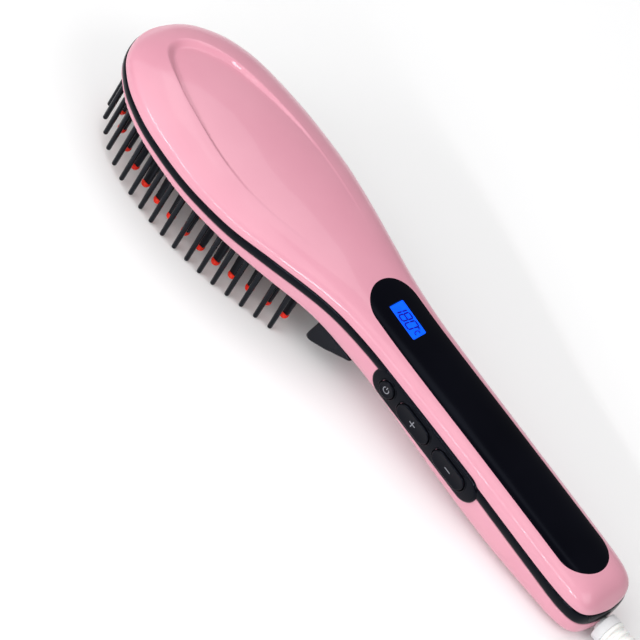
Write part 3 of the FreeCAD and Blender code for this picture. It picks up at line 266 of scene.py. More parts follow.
def edge_distance(p, loop):
    best = np.full(len(p), 1e9)
    a, b = loop, np.roll(loop, -1, 0)
    for s, e in zip(a, b):
        d = e - s
        t = np.clip(((p - s) @ d) / max(d @ d, 1e-12), 0, 1)
        q = p - s - t[:, None] * d
        best = np.minimum(best, (q * q).sum(1))
    return np.sqrt(best)


FACE = face_outline()


def face_depth(x, y):
    """How far the face lies under the dome."""
    p = np.stack([np.ravel(x), np.ravel(y)], 1)
    out = np.zeros(len(p))
    near = (p[:, 0] > 8) & (p[:, 0] < 124) & (np.abs(p[:, 1]) < 22)
    q = p[near]
    if len(q):
        ins = inside_loop(q, FACE)
        d = np.where(ins, edge_distance(q, FACE), 0.0)
        wide = 1.5 + 2.6 * (1 - smoothstep((q[:, 0] - 11) / 22))
        deep = 2.3 * (1 - smoothstep((q[:, 0] - 14) / 66)) + 0.16 * (1 - smoothstep((q[:, 0] - 80) / 34))
        out[near] = deep * smoothstep(d / wide)
    return out.reshape(np.shape(x))


# ============================================================ shell surfaces
class Skin:
    """Superellipse sections along the brush. side is +1 for the back shell and -1 for the lower shell."""

    def __init__(self, side, inset, face=False):
        self.side, self.face = side, face
        dx, dw = np.gradient(T_X, FF), np.gradient(T_W, FF)
        t = np.hypot(dx, dw)
        self.x = T_X + inset * dw / t
        self.w = np.maximum(T_W - inset * dx / t, 0.0)
        self.x = np.maximum.accumulate(self.x)
        if side > 0:
            self.zb = T_SEAM + T_TH / 2
            self.r = soften(ramp_ends(np.maximum(T_CROWN - T_TH / 2, 0.05), 0.16), 0.028, True)
            self.r = np.maximum(self.r - max(inset - 0.4, 0.0), 0.0)
            self.p = T_PT
        else:
            self.zb = T_SEAM - T_TH / 2
            self.r = np.maximum(self.zb - T_BELLY - (inset - 0.4), 0.35)
            self.p = T_PL
        self.g = {k: np.gradient(getattr(self, k), FF) for k in ("x", "w", "zb", "r", "p")}
        # arc length across, on a coarse grid, for the flat chart
        self.fa = np.linspace(0, PI, 361)
        self.aa = np.linspace(0, PI, 241)
        fm, am = np.meshgrid(self.fa, self.aa, indexing="ij")
        q = self.pos(fm.ravel(), am.ravel(), plain=True).reshape(361, 241, 3)
        s = np.concatenate([np.zeros((361, 1)), np.cumsum(np.linalg.norm(np.diff(q, axis=1), axis=2), axis=1)], 1)
        self.arc = s[:, -1:] / 2 - s                     # positive on the +y side
        run = np.sqrt(self.g["x"] ** 2 + 0.5 * self.g["w"] ** 2)
        self.su = np.concatenate([[0], np.cumsum((run[1:] + run[:-1]) / 2 * STEP)])

    def get(self, key, f):
        return np.interp(f, FF, getattr(self, key))

    def slope(self, key, f):
        return np.interp(f, FF, self.g[key])

    def pos(self, f, a, plain=False, drop=0.0):
        f, a = np.asarray(f, float), np.asarray(a, float)
        p = self.get("p", f)
        c, s = np.cos(a), np.sin(a)
        u = np.sign(c) * np.abs(c) ** (2 / p)
        v = np.abs(s) ** (2 / p)
        x = self.get("x", f)
        y = self.get("w", f) * u
        z = self.get("zb", f) + self.side * self.get("r", f) * v
        if self.face and not plain:
            z = z - face_depth(x, y)
        q = np.stack([x, y, z], 1)
        if drop:
            q = q - self.normal(f, a) * drop
        return q

    def normal(self, f, a):
        f = np.clip(f, 0.02, PI - 0.02)
        p = self.get("p", f)
        c, s = np.cos(a), np.sin(a)
        u = np.maximum(np.abs(c) ** (2 / p), 1e-6)
        v = np.maximum(np.abs(s) ** (2 / p), 1e-6)
        w, r = self.get("w", f), self.get("r", f)
        wf, rf, zf, xf, pf = (self.slope(k, f) for k in ("w", "r", "zb", "x", "p"))
        nz = xf * self.side * p * v ** (p - 1) * w
        ny = xf * p * u ** (p - 1) * np.sign(c) * r
        nx = (-p * u ** p * wf * r - p * v ** p * rf * w - self.side * p * v ** (p - 1) * zf * w
              + w * r * pf * (u ** p * np.log(u) + v ** p * np.log(v)))
        if self.face:
            x, y = self.get("x", f), w * np.sign(c) * u
            e = 0.04
            nx = nx + nz * (face_depth(x + e, y) - face_depth(x - e, y)) / (2 * e)
            ny = ny + nz * (face_depth(x, y + e) - face_depth(x, y - e)) / (2 * e)
        n = np.stack([nx, ny, nz], 1)
        length = np.linalg.norm(n, axis=1, keepdims=True)
        return np.where(length > 1e-9, n / np.maximum(length, 1e-9), np.array([[0, 0, float(self.side)]]))

    def chart(self, f, a):
        """Flat, nearly true-length coordinates."""
        f, a = np.asarray(f, float), np.asarray(a, float)
        i = np.clip(f / PI * 360, 0, 359.999)
        j = np.clip(a / PI * 240, 0, 239.999)
        i0, j0 = i.astype(int), j.astype(int)
        ti, tj = i - i0, j - j0
        v = ((1 - ti) * (1 - tj) * self.arc[i0, j0] + ti * (1 - tj) * self.arc[i0 + 1, j0]
             + (1 - ti) * tj * self.arc[i0, j0 + 1] + ti * tj * self.arc[i0 + 1, j0 + 1])
        return np.stack([np.interp(f, FF, self.su), v], 1)

    def from_xy(self, x, y):
        f = np.interp(x, self.x, FF)
        p = self.get("p", f)
        u = np.clip(y / np.maximum(self.get("w", f), 1e-6), -1, 1)
        return f, np.arccos(np.sign(u) * np.abs(u) ** (p / 2))

    def from_xz(self, x, z, left):
        """Parameters of the side point at height z; left picks the -y side."""
        f = np.interp(x, self.x, FF)
        p = self.get("p", f)
        v = np.clip(self.side * (z - self.get("zb", f)) / self.get("r", f), 0, 1)
        a = np.arcsin(v ** (p / 2))
        return f, np.where(left, PI - a, a)

    def grid(self, h):
        """Scattered parameters, about h apart in the chart."""
        us = np.arange(h * 0.6, self.su[-1] - h * 0.3, h * 0.87)
        fs, az = [], []
        for k, u in enumerate(us):
            f = np.interp(u, self.su, FF)
            i = f / PI * 360
            i0 = int(min(i, 359))
            row = self.arc[i0] * (1 - (i - i0)) + self.arc[i0 + 1] * (i - i0)
            top = row[0]
            n = max(1, int(round(2 * top / h)))
            v = (np.arange(n) + 0.5 + (0.25 if k % 2 else -0.25)) / n * 2 * top - top
            a = np.interp(-v, -row, self.aa)
            fs.append(np.full(n, f))
            az.append(a)
        return np.concatenate(fs), np.concatenate(az)


# ============================================================ mesh assembly
class Shape:
    """Patches with their own normals, welded into one mesh."""

    def __init__(self):
        self.v, self.n, self.f, self.m = [], [], [], []
        self.count = 0

    def add(self, verts, normals, faces, mat=0):
        verts, normals = np.asarray(verts, float), np.asarray(normals, float)
        self.v.append(verts)
        self.n.append(normals)
        for f in faces:
            self.f.append(tuple(int(i) + self.count for i in f))
            self.m.append(mat)
        self.count += len(verts)

    def rows(self, rows, closed=True, mat=0):
        """rows: list of (points, normals), all of the same length."""
        m = len(rows[0][0])
        v = np.concatenate([r[0] for r in rows])
        n = np.concatenate([np.broadcast_to(r[1], r[0].shape) for r in rows])
        faces = []
        last = m if closed else m - 1
        for k in range(len(rows) - 1):
            for i in range(last):
                j = (i + 1) % m
                faces.append((k * m + i, k * m + j, (k + 1) * m + j, (k + 1) * m + i))
        self.add(v, n, faces, mat)

    def disc(self, loop, centre, normal, mat=0):
        v = np.vstack([loop, centre])
        n = np.broadcast_to(normal, v.shape)
        m = len(loop)
        self.add(v, n, [(i, (i + 1) % m, m) for i in range(m)], mat)

    def build(self, name, materials, move=True, weld=2e-4):
        v = np.concatenate(self.v)
        n = np.concatenate(self.n)
        n = n / np.maximum(np.linalg.norm(n, axis=1, keepdims=True), 1e-12)
        key = np.round(v / weld).astype(np.int64)
        _, first, back = np.unique(key, axis=0, return_index=True, return_inverse=True)
        back = back.ravel()
        points = v[first]
        faces, corner, mats = [], [], []
        for f, m in zip(self.f, self.m):
            g, c = [], []
            for i in f:
                k = int(back[i])
                if not g or (k != g[-1] and k != g[0]):
                    g.append(k)
                    c.append(i)
            if len(g) < 3:
                continue
            p = points[g]
            nn = np.zeros(3)
            for i in range(1, len(g) - 1):
                nn += np.cross(p[i] - p[0], p[i + 1] - p[0])
            if np.linalg.norm(nn) < 1e-9:
                continue
            if nn @ n[c].sum(0) < 0:
                g, c = g[::-1], c[::-1]
            faces.append(g)
            corner.extend(c)
            mats.append(m)
        xyz = points.copy()
        if move:
            xyz[:, 0] -= XM
        mesh = bpy.data.meshes.new(name)
        mesh.from_pydata((xyz / 1000.0).tolist(), [], faces)
        mesh.polygons.foreach_set("material_index", mats)
        mesh.polygons.foreach_set("use_smooth", [True] * len(faces))
        mesh.update()
        mesh.normals_split_custom_set(n[corner].tolist())
        for mt in materials:
            mesh.materials.append(mt)
        obj = bpy.data.objects.new(name, mesh)
        scene.collection.objects.link(obj)
        return obj


def cdt(points, loops, keep):
    """Triangles of a flat point set with closed constraint loops; keep(centroids) chooses."""
    edges = []
    for loop in loops:
        edges += [(int(loop[i]), int(loop[(i + 1) % len(loop)])) for i in range(len(loop))]
    vs, _, fs, ov, _, _ = delaunay_2d_cdt([Vector(p) for p in points], edges, [], 0, 1e-7, True)
    if len(vs) != len(points):
        print("cdt: vertices in and out", len(points), len(vs))
    back = [o[0] if len(o) else -1 for o in ov]
    tri = np.array([[back[i] for i in f] for f in fs if len(f) == 3])
    tri = tri[(tri >= 0).all(1)]
    c = points[tri].mean(1)
    return tri[keep(c)]


def thin_out(points, fixed, gap):
    """Drops scattered points that lie nearer than gap to a fixed one."""
    tree = KDTree(len(fixed))
    for i, p in enumerate(fixed):
        tree.insert((p[0], p[1], 0), i)
    tree.balance()
    return np.array([tree.find((p[0], p[1], 0))[2] > gap for p in points])


def curved_patch(shape, skin, outer, holes, h, drop=0.0, extra=None, mat=0, exact=None):
    """Fills the skin inside the outer loop and outside the holes. Loops are (f, a) arrays.
    exact gives the loops' own points, in the order outer, holes."""
    loops = [outer] + list(holes)
    fa = np.concatenate([np.stack(l, 1) for l in loops])
    ring = skin.chart(fa[:, 0], fa[:, 1])
    sizes = [len(l[0]) for l in loops]
    starts = np.concatenate([[0], np.cumsum(sizes)])
    gf, ga = skin.grid(h)
    fixed = ring
    if extra is not None:
        ec = skin.chart(*extra)
        ok = thin_out(ec, ring, h * 0.45)
        extra = (extra[0][ok], extra[1][ok])
        ec = ec[ok]
        fixed = np.vstack([ring, ec])
    gc = skin.chart(gf, ga)
    ok = thin_out(gc, fixed, h * 0.62)
    gf, ga, gc = gf[ok], ga[ok], gc[ok]
    charts = [ring[starts[i]:starts[i + 1]] for i in range(len(loops))]
    ok = inside_loop(gc, charts[0])
    for c in charts[1:]:
        ok &= ~inside_loop(gc, c)
    gf, ga, gc = gf[ok], ga[ok], gc[ok]
    parts_f, parts_a, parts_c = [fa[:, 0]], [fa[:, 1]], [ring]
    if extra is not None:
        ok = inside_loop(ec, charts[0])
        for c in charts[1:]:
            ok &= ~inside_loop(ec, c)
        parts_f.append(extra[0][ok])
        parts_a.append(extra[1][ok])
        parts_c.append(ec[ok])
    f = np.concatenate(parts_f + [gf])
    a = np.concatenate(parts_a + [ga])
    flat = np.concatenate(parts_c + [gc])

    def keep(c):
        k = inside_loop(c, charts[0])
        for q in charts[1:]:
            k &= ~inside_loop(c, q)
        return k

    tri = cdt(flat, [np.arange(starts[i], starts[i + 1]) for i in range(len(loops))], keep)
    v = skin.pos(f, a, drop=drop)
    n = skin.normal(f, a)
    if exact is not None:
        for i, e in enumerate(exact):
            if e is not None:
                v[starts[i]:starts[i + 1]] = e
    return v, n, tri


def flat_fill(outer, holes, h=None):
    """Triangles of a flat region given as 2D loops; returns points and triangles. The loops come first."""
    loops = [np.asarray(outer)] + [np.asarray(q) for q in holes]
    pts = np.concatenate(loops)
    sizes = [len(l) for l in loops]
    starts = np.concatenate([[0], np.cumsum(sizes)])
    if h:
        lo, hi = loops[0].min(0), loops[0].max(0)
        gx, gy = np.meshgrid(np.arange(lo[0] + h / 2, hi[0], h), np.arange(lo[1] + h / 2, hi[1], h * 0.87), indexing="ij")
        gx = gx + (np.arange(gx.shape[1]) % 2) * h * 0.5
        g = np.stack([gx.ravel(), gy.ravel()], 1)
        ok = inside_loop(g, loops[0]) & thin_out(g, pts, h * 0.6)
        for q in loops[1:]:
            ok &= ~inside_loop(g, q)
        pts = np.vstack([pts, g[ok]])

    def keep(c):
        k = inside_loop(c, loops[0])
        for q in loops[1:]:
            k &= ~inside_loop(c, q)
        return k

    tri = cdt(pts, [np.arange(starts[i], starts[i + 1]) for i in range(len(loops))], keep)
    return pts, tri, starts


def side_of(points, normals, toward):
    """Unit vectors in the surface, across the loop, on the side that toward points to."""
    t = np.roll(points, -1, 0) - np.roll(points, 1, 0)
    t /= np.maximum(np.linalg.norm(t, axis=1, keepdims=True), 1e-9)
    s = np.cross(t, normals)
    s /= np.maximum(np.linalg.norm(s, axis=1, keepdims=True), 1e-9)
    flip = np.sign((s * toward).sum(1).sum())
    return s * (flip if flip else 1.0)


def roll(points, normals, side, radius, steps=4):
    rows = []
    for k in range(steps + 1):
        q = PI / 2 * k / steps
        rows.append((points + radius * math.sin(q) * side - radius * (1 - math.cos(q)) * normals,
                     math.cos(q) * normals + math.sin(q) * side))
    return rows


def stadium(cx, cy, half_len, radius, spacing):
    """Counter-clockwise stadium along x."""
    n_arc = max(10, int(round(PI * radius / spacing)))
    n_run = max(1, int(round(2 * half_len / spacing)))
    pts = []
    for k in range(n_arc):
        q = -PI / 2 + PI * k / n_arc
        pts.append((cx + half_len + radius * math.cos(q), cy + radius * math.sin(q)))
    for k in range(n_run):
        pts.append((cx + half_len - 2 * half_len * k / n_run, cy + radius))
    for k in range(n_arc):
        q = PI / 2 + PI * k / n_arc
        pts.append((cx - half_len + radius * math.cos(q), cy + radius * math.sin(q)))
    for k in range(n_run):
        pts.append((cx - half_len + 2 * half_len * k / n_run, cy - radius))
    return np.array(pts)


def rounded_rect(cx, cy, wide, tall, radius, steps=5, runs=6):
    pts = []
    for sx, sy, q0 in ((1, -1, -PI / 2), (1, 1, 0), (-1, 1, PI / 2), (-1, -1, PI)):
        ox, oy = cx + sx * (wide / 2 - radius), cy + sy * (tall / 2 - radius)
        for k in range(steps + 1):
            q = q0 + PI / 2 * k / steps
            pts.append((ox + radius * math.cos(q), oy + radius * math.sin(q)))
    pts = np.array(pts)
    out = []
    n = len(pts)
    for i in range(n):
        p, q = pts[i], pts[(i + 1) % n]
        d = np.linalg.norm(q - p)
        k = max(1, int(round(d / (max(wide, tall) / (2 * runs)))))
        for j in range(k):
            out.append(p + (q - p) * j / k)
    return np.array(out)


def circle(cx, cy, radius, count=32):
    q = np.arange(count) * 2 * PI / count
    return np.stack([cx + radius * np.cos(q), cy + radius * np.sin(q)], 1)


def shrink(loop, by):
    """Closed counter-clockwise loop moved inwards."""
    t = np.roll(loop, -1, 0) - np.roll(loop, 1, 0)
    t /= np.maximum(np.linalg.norm(t, axis=1, keepdims=True), 1e-9)
    return loop + by * np.stack([-t[:, 1], t[:, 0]], 1)


class Plane:
    """Local (u, v, w) to station coordinates; w is the outward direction."""

    def __init__(self, origin, eu, ev):
        self.o = np.array(origin, float)
        self.eu, self.ev = np.array(eu, float), np.array(ev, float)
        self.ew = np.cross(self.eu, self.ev)

    def at(self, uv, w):
        uv = np.asarray(uv, float)
        return self.o + uv[:, :1] * self.eu + uv[:, 1:2] * self.ev + np.asarray(w, float).reshape(-1, 1) * self.ew

    def dir(self, uv):
        return uv[:, :1] * self.eu + uv[:, 1:2] * self.ev


def loop_normals(loop):
    """Outward normals of a counter-clockwise loop."""
    t = np.roll(loop, -1, 0) - np.roll(loop, 1, 0)
    t /= np.maximum(np.linalg.norm(t, axis=1, keepdims=True), 1e-9)
    return np.stack([t[:, 1], -t[:, 0]], 1)


def plate(shape, plane, outer, holes, w_top, w_bot, r_top=0.3, r_bot=0.1, h=None, mat=0, steps=4, hole_r=None, dome=None):
    """Solid plate with rounded rims. outer and holes are counter-clockwise (u, v) loops; dome(u, v) raises the top."""
    hole_r = r_top if hole_r is None else hole_r
    for top, w, r, hr in ((True, w_top, r_top, hole_r), (False, w_bot, r_bot, min(hole_r, r_bot))):
        sgn = 1.0 if top else -1.0
        face_outer = shrink(outer, r)
        face_holes = [shrink(q, -hr) for q in holes]
        pts, tri, starts = flat_fill(face_outer, face_holes, h if top else None)
        lift = dome(pts[:, 0], pts[:, 1]) if (top and dome) else np.zeros(len(pts))
        n = np.tile(plane.ew * sgn, (len(pts), 1))
        if top and dome:
            e = 0.02
            du = (dome(pts[:, 0] + e, pts[:, 1]) - dome(pts[:, 0] - e, pts[:, 1])) / (2 * e)
            dv = (dome(pts[:, 0], pts[:, 1] + e) - dome(pts[:, 0], pts[:, 1] - e)) / (2 * e)
            n = plane.ew - du[:, None] * plane.eu - dv[:, None] * plane.ev
        shape.add(plane.at(pts, w + lift), n, tri, mat)
        for k, (loop, is_hole) in enumerate([(outer, False)] + [(q, True) for q in holes]):
            ln = loop_normals(loop) * (-1 if is_hole else 1)
            side = plane.dir(ln)
            rr = hr if is_hole else r
            base = pts[starts[k]:starts[k + 1]]
            lft = lift[starts[k]:starts[k + 1]]
            bn = n[starts[k]:starts[k + 1]]
            bn = bn / np.linalg.norm(bn, axis=1, keepdims=True)
            rows = []
            for s in range(steps + 1):
                q = PI / 2 * s / steps
                rows.append((plane.at(base, w + lft - sgn * rr * (1 - math.cos(q))) + rr * math.sin(q) * side,
                             math.cos(q) * bn + math.sin(q) * side))
            # last row sits exactly over the nominal loop
            rows[-1] = (plane.at(loop, w + lft - sgn * rr), side)
            shape.rows(rows, True, mat)
            if top:
                shape.rim = getattr(shape, "rim", {})
                shape.rim[k] = rows[-1][0]
            else:
                shape.rows([(shape.rim[k], side), (rows[-1][0], side)], True, mat)


def lathe(shape, origin, axis, profile, seg=32, mat=0, ref=None, spin=0.0):
    """Turns profile [(along, radius)] about the axis. Closed at both ends where the radius is zero."""
    axis = np.array(axis, float)
    ref = np.array(ref if ref is not None else ((0, 0, 1) if abs(axis[2]) < 0.9 else (1, 0, 0)), float)
    e1 = np.cross(axis, ref)
    e1 /= np.linalg.norm(e1)
    e2 = np.cross(axis, e1)
    q = np.arange(seg) * 2 * PI / seg + spin
    ring = np.cos(q)[:, None] * e1 + np.sin(q)[:, None] * e2
    p = np.array(profile, float)
    d = np.zeros_like(p)
    seg_d = np.diff(p, axis=0)
    ln = np.linalg.norm(seg_d, axis=1)
    rows = []
    o = np.array(origin, float)
    for i in range(len(p) - 1):
        a, b = p[i], p[i + 1]
        t = (b - a) / max(ln[i], 1e-9)
        na = nb = np.array([-t[1], t[0]])

        def soft(k, other, own):
            """Shared normal where two runs meet at a shallow angle."""
            if other < 0 or other >= len(seg_d):
                return own
            t2 = seg_d[other] / max(ln[other], 1e-9)
            n2 = np.array([-t2[1], t2[0]])
            if own @ n2 > 0.62:
                m = own + n2
                return m / np.linalg.norm(m)
            return own

        na, nb = soft(i, i - 1, na), soft(i, i + 1, nb)
        ra = (o + axis * a[0] + ring * a[1], ring * na[1] + axis * na[0])
        rb = (o + axis * b[0] + ring * b[1], ring * nb[1] + axis * nb[0])
        shape.rows([ra, rb], True, mat)


def round_profile(points, radius, steps=3):
    """Rounds the inner corners of a profile polyline."""
    p = [np.array(q, float) for q in points]
    out = [p[0]]
    for i in range(1, len(p) - 1):
        a, b = p[i - 1] - p[i], p[i + 1] - p[i]
        la, lb = np.linalg.norm(a), np.linalg.norm(b)
        r = min(radius, la * 0.45, lb * 0.45)
        s, e = p[i] + a / la * r, p[i] + b / lb * r
        for k in range(steps + 1):
            t = k / steps
            out.append((1 - t) ** 2 * s + 2 * t * (1 - t) * p[i] + t * t * e)
    out.append(p[-1])
    return out


def sweep(shape, rows, along_closed=False, mat=0, caps=True):
    """rows (K, M, 3): K points of a closed section, each with M samples along the path."""
    r = np.asarray(rows, float)
    dk = np.roll(r, -1, 0) - np.roll(r, 1, 0)
    dm = (np.roll(r, -1, 1) - np.roll(r, 1, 1)) if along_closed else np.gradient(r, axis=1)
    n = np.cross(dk, dm)
    n /= np.maximum(np.linalg.norm(n, axis=2, keepdims=True), 1e-12)
    if ((r - r.mean(0, keepdims=True)) * n).sum() < 0:
        n = -n
    k_count, m = r.shape[:2]
    v, nn = r.reshape(-1, 3), n.reshape(-1, 3)
    faces = []
    last = m if along_closed else m - 1
    for k in range(k_count):
        k2 = (k + 1) % k_count
        for i in range(last):
            j = (i + 1) % m
            faces.append((k * m + i, k * m + j, k2 * m + j, k2 * m + i))
    shape.add(v, nn, faces, mat)
    if caps and not along_closed:
        for end, inner in ((0, 1), (m - 1, m - 2)):
            loop = r[:, end]
            c = loop.mean(0)
            d = c - r[:, inner].mean(0)
            shape.disc(loop, c, d / np.linalg.norm(d), mat)


def prism(shape, plane, loop, w0, w1, mat=0, holes=()):
    """Small flat-topped solid, w0 below and w1 above."""
    pts, tri, starts = flat_fill(loop, holes)
    shape.add(plane.at(pts, w1), np.tile(plane.ew, (len(pts), 1)), tri, mat)
    shape.add(plane.at(pts, w0), np.tile(-plane.ew, (len(pts), 1)), tri, mat)
    for k, q in enumerate([loop] + list(holes)):
        q = np.asarray(q, float)
        sgn = 1.0 if k == 0 else -1.0
        for i in range(len(q)):
            a, b = q[i], q[(i + 1) % len(q)]
            d = (b - a) / max(np.linalg.norm(b - a), 1e-9)
            nrm = sgn * (d[1] * plane.eu - d[0] * plane.ev)
            v = np.concatenate([plane.at([a], w0), plane.at([b], w0), plane.at([b], w1), plane.at([a], w1)])
            shape.add(v, np.tile(nrm, (4, 1)), [(0, 1, 2, 3)], mat)


# ============================================================ materials
def linear(*rgb):
    out = []
    for c in rgb:
        c = c / 255.0
        out.append(c / 12.92 if c <= 0.04045 else ((c + 0.055) / 1.055) ** 2.4)
    return (*out, 1.0)


def finish(name, colour, second=None, rough=0.3, rough_to=None, mottle=70.0, grain=0.0, grain_size=2600.0, metal=0.0,
           coat=0.0, coat_rough=0.05, spec=0.5, ior=1.5, detail=3.0, stretch=None, emit=None, emit_strength=0.0, sub=0.0,
           sub_radius=0.002, specks=None, speck_size=900.0, speck_from=0.62, aniso=0.0, tint=None):
    """Node material: two tones mixed by noise, a roughness that varies with it, optional specks and fine grain."""
    m = bpy.data.materials.new(name)
    m.use_nodes = True
    nt = m.node_tree
    b = nt.nodes["Principled BSDF"]
    where = nt.nodes.new("ShaderNodeTexCoord")
    source = where.outputs["Object"]
    if stretch:
        mp = nt.nodes.new("ShaderNodeMapping")
        mp.inputs["Scale"].default_value = stretch
        nt.links.new(source, mp.inputs["Vector"])
        source = mp.outputs["Vector"]
    wide = nt.nodes.new("ShaderNodeTexNoise")
    wide.inputs["Scale"].default_value = mottle
    wide.inputs["Detail"].default_value = detail
    nt.links.new(source, wide.inputs["Vector"])
    mix = nt.nodes.new("ShaderNodeValToRGB")
    mix.color_ramp.elements[0].position, mix.color_ramp.elements[1].position = 0.34, 0.66
    mix.color_ramp.elements[0].color = linear(*colour)
    mix.color_ramp.elements[1].color = linear(*(second or [min(255, c * 1.05 + 2) for c in colour]))
    nt.links.new(wide.outputs["Fac"], mix.inputs["Fac"])
    out = mix.outputs["Color"]
    if specks:
        sp = nt.nodes.new("ShaderNodeTexNoise")
        sp.inputs["Scale"].default_value = speck_size
        sp.inputs["Detail"].default_value = 2.0
        nt.links.new(source, sp.inputs["Vector"])
        cut_ = nt.nodes.new("ShaderNodeMapRange")
        cut_.inputs["From Min"].default_value = speck_from
        cut_.inputs["From Max"].default_value = speck_from + 0.05
        nt.links.new(sp.outputs["Fac"], cut_.inputs["Value"])
        blend = nt.nodes.new("ShaderNodeMix")
        blend.data_type = "RGBA"
        blend.inputs["B"].default_value = linear(*specks)
        nt.links.new(cut_.outputs["Result"], blend.inputs["Factor"])
        nt.links.new(out, blend.inputs["A"])
        out = blend.outputs["Result"]
    nt.links.new(out, b.inputs["Base Color"])
    fine = nt.nodes.new("ShaderNodeTexNoise")
    fine.inputs["Scale"].default_value = grain_size
    fine.inputs["Detail"].default_value = 2.0
    nt.links.new(source, fine.inputs["Vector"])
    rr = nt.nodes.new("ShaderNodeMapRange")
    rr.inputs["To Min"].default_value = rough
    rr.inputs["To Max"].default_value = rough_to if rough_to is not None else rough * 1.35
    nt.links.new(wide.outputs["Fac"], rr.inputs["Value"])
    nt.links.new(rr.outputs["Result"], b.inputs["Roughness"])
    if grain > 0:
        bump = nt.nodes.new("ShaderNodeBump")
        bump.inputs["Strength"].default_value = grain
        bump.inputs["Distance"].default_value = 0.0002
        nt.links.new(fine.outputs["Fac"], bump.inputs["Height"])
        nt.links.new(bump.outputs["Normal"], b.inputs["Normal"])
    b.inputs["Metallic"].default_value = metal
    b.inputs["Coat Weight"].default_value = coat
    b.inputs["Coat Roughness"].default_value = coat_rough
    b.inputs["Specular IOR Level"].default_value = spec
    b.inputs["IOR"].default_value = ior
    if tint:
        b.inputs["Specular Tint"].default_value = (*tint, 1.0)
    b.inputs["Anisotropic"].default_value = aniso
    if sub:
        b.inputs["Subsurface Weight"].default_value = sub
        b.inputs["Subsurface Radius"].default_value = (1.0, 0.6, 0.5)
        b.inputs["Subsurface Scale"].default_value = sub_radius
    if emit:
        b.inputs["Emission Strength"].default_value = emit_strength
        glow = nt.nodes.new("ShaderNodeValToRGB")
        glow.color_ramp.elements[0].position, glow.color_ramp.elements[1].position = 0.3, 0.7
        glow.color_ramp.elements[0].color = linear(*emit)
        glow.color_ramp.elements[1].color = linear(*[min(255, c * 1.06 + 3) for c in emit])
        nt.links.new(wide.outputs["Fac"], glow.inputs["Fac"])
        nt.links.new(glow.outputs["Color"], b.inputs["Emission Color"])
    return m


COOL = (0.66, 0.76, 1.0)
PINK = finish("pink_shell_gloss", (213, 146, 164), (217, 152, 169), rough=0.30, rough_to=0.36, mottle=24, grain=0.012,
              grain_size=1500, coat=0.5, coat_rough=0.05, spec=0.25)
BLACK = finish("black_gloss", (3, 3, 7), (6, 6, 11), rough=0.08, rough_to=0.12, mottle=40, grain=0.006, grain_size=900,
               spec=0.13, tint=COOL)
PANEL = finish("panel_black", (3, 3, 8), (6, 6, 13), rough=0.12, rough_to=0.17, mottle=30, grain=0.004, grain_size=700,
               spec=0.09, tint=COOL)
COMB = finish("comb_black", (5, 5, 7), (9, 9, 12), rough=0.34, rough_to=0.46, mottle=120, grain=0.10, grain_size=5200,
              spec=0.18, tint=COOL)
PINS = finish("pin_nylon_black", (3, 3, 6), (6, 6, 10), rough=0.18, rough_to=0.26, mottle=300, grain=0.03, grain_size=3500,
              spec=0.22, tint=COOL)
TEETH_M = finish("tooth_black_coating", (4, 4, 7), (8, 8, 11), rough=0.26, rough_to=0.38, mottle=260, grain=0.12,
                 grain_size=6500, specks=(20, 20, 25), speck_size=5200, speck_from=0.66, spec=0.22, tint=COOL)
TIPS = finish("tip_orange_silicone", (240, 34, 10), (248, 48, 16), rough=0.36, rough_to=0.46, mottle=420, grain=0.05,
              grain_size=5200, sub=0.12, sub_radius=0.0012, spec=0.35)
GUARD = finish("guard_black", (4, 4, 7), (8, 8, 12), rough=0.22, rough_to=0.32, mottle=90, grain=0.05, grain_size=3800,
               spec=0.22, tint=COOL)
GREY = finish("gland_light_grey", (214, 214, 216), (222, 222, 224), rough=0.35, rough_to=0.45, mottle=160, grain=0.05,
              grain_size=4200)
SLEEVE = finish("sleeve_white_rubber", (232, 231, 228), (240, 239, 237), rough=0.42, rough_to=0.52, mottle=190, grain=0.08,
                grain_size=4600, sub=0.25, sub_radius=0.003)
LEAD = finish("lead_white_pvc", (232, 232, 230), (240, 240, 238), rough=0.40, rough_to=0.50, mottle=110, grain=0.07,
              grain_size=3600, sub=0.08, sub_radius=0.0015)
PLUG = finish("plug_white_pvc", (228, 228, 226), (236, 236, 234), rough=0.38, rough_to=0.48, mottle=90, grain=0.10,
              grain_size=4200)
STRAP = finish("strap_black", (20, 20, 22), (34, 34, 37), rough=0.55, rough_to=0.75, mottle=900, grain=0.35, grain_size=5200)
NICKEL = finish("pin_nickel", (196, 194, 188), (214, 212, 206), rough=0.20, rough_to=0.32, mottle=260, grain=0.03,
                grain_size=5200, metal=1.0, stretch=(0.25, 1.0, 1.0), aniso=0.3)
LCD = finish("lcd_blue", (0, 52, 210), (0, 60, 220), rough=0.22, rough_to=0.28, mottle=500, grain=0.0, spec=0.2,
             emit=(0, 92, 255), emit_strength=0.85)
LCD_DARK = finish("lcd_segments", (0, 2, 90), (0, 4, 110), rough=0.3, rough_to=0.36, mottle=500, emit=(0, 6, 150),
                  emit_strength=0.6, spec=0.2)
ICON = finish("icon_light_grey", (120, 122, 130), (134, 136, 144), rough=0.4, rough_to=0.5, mottle=500)

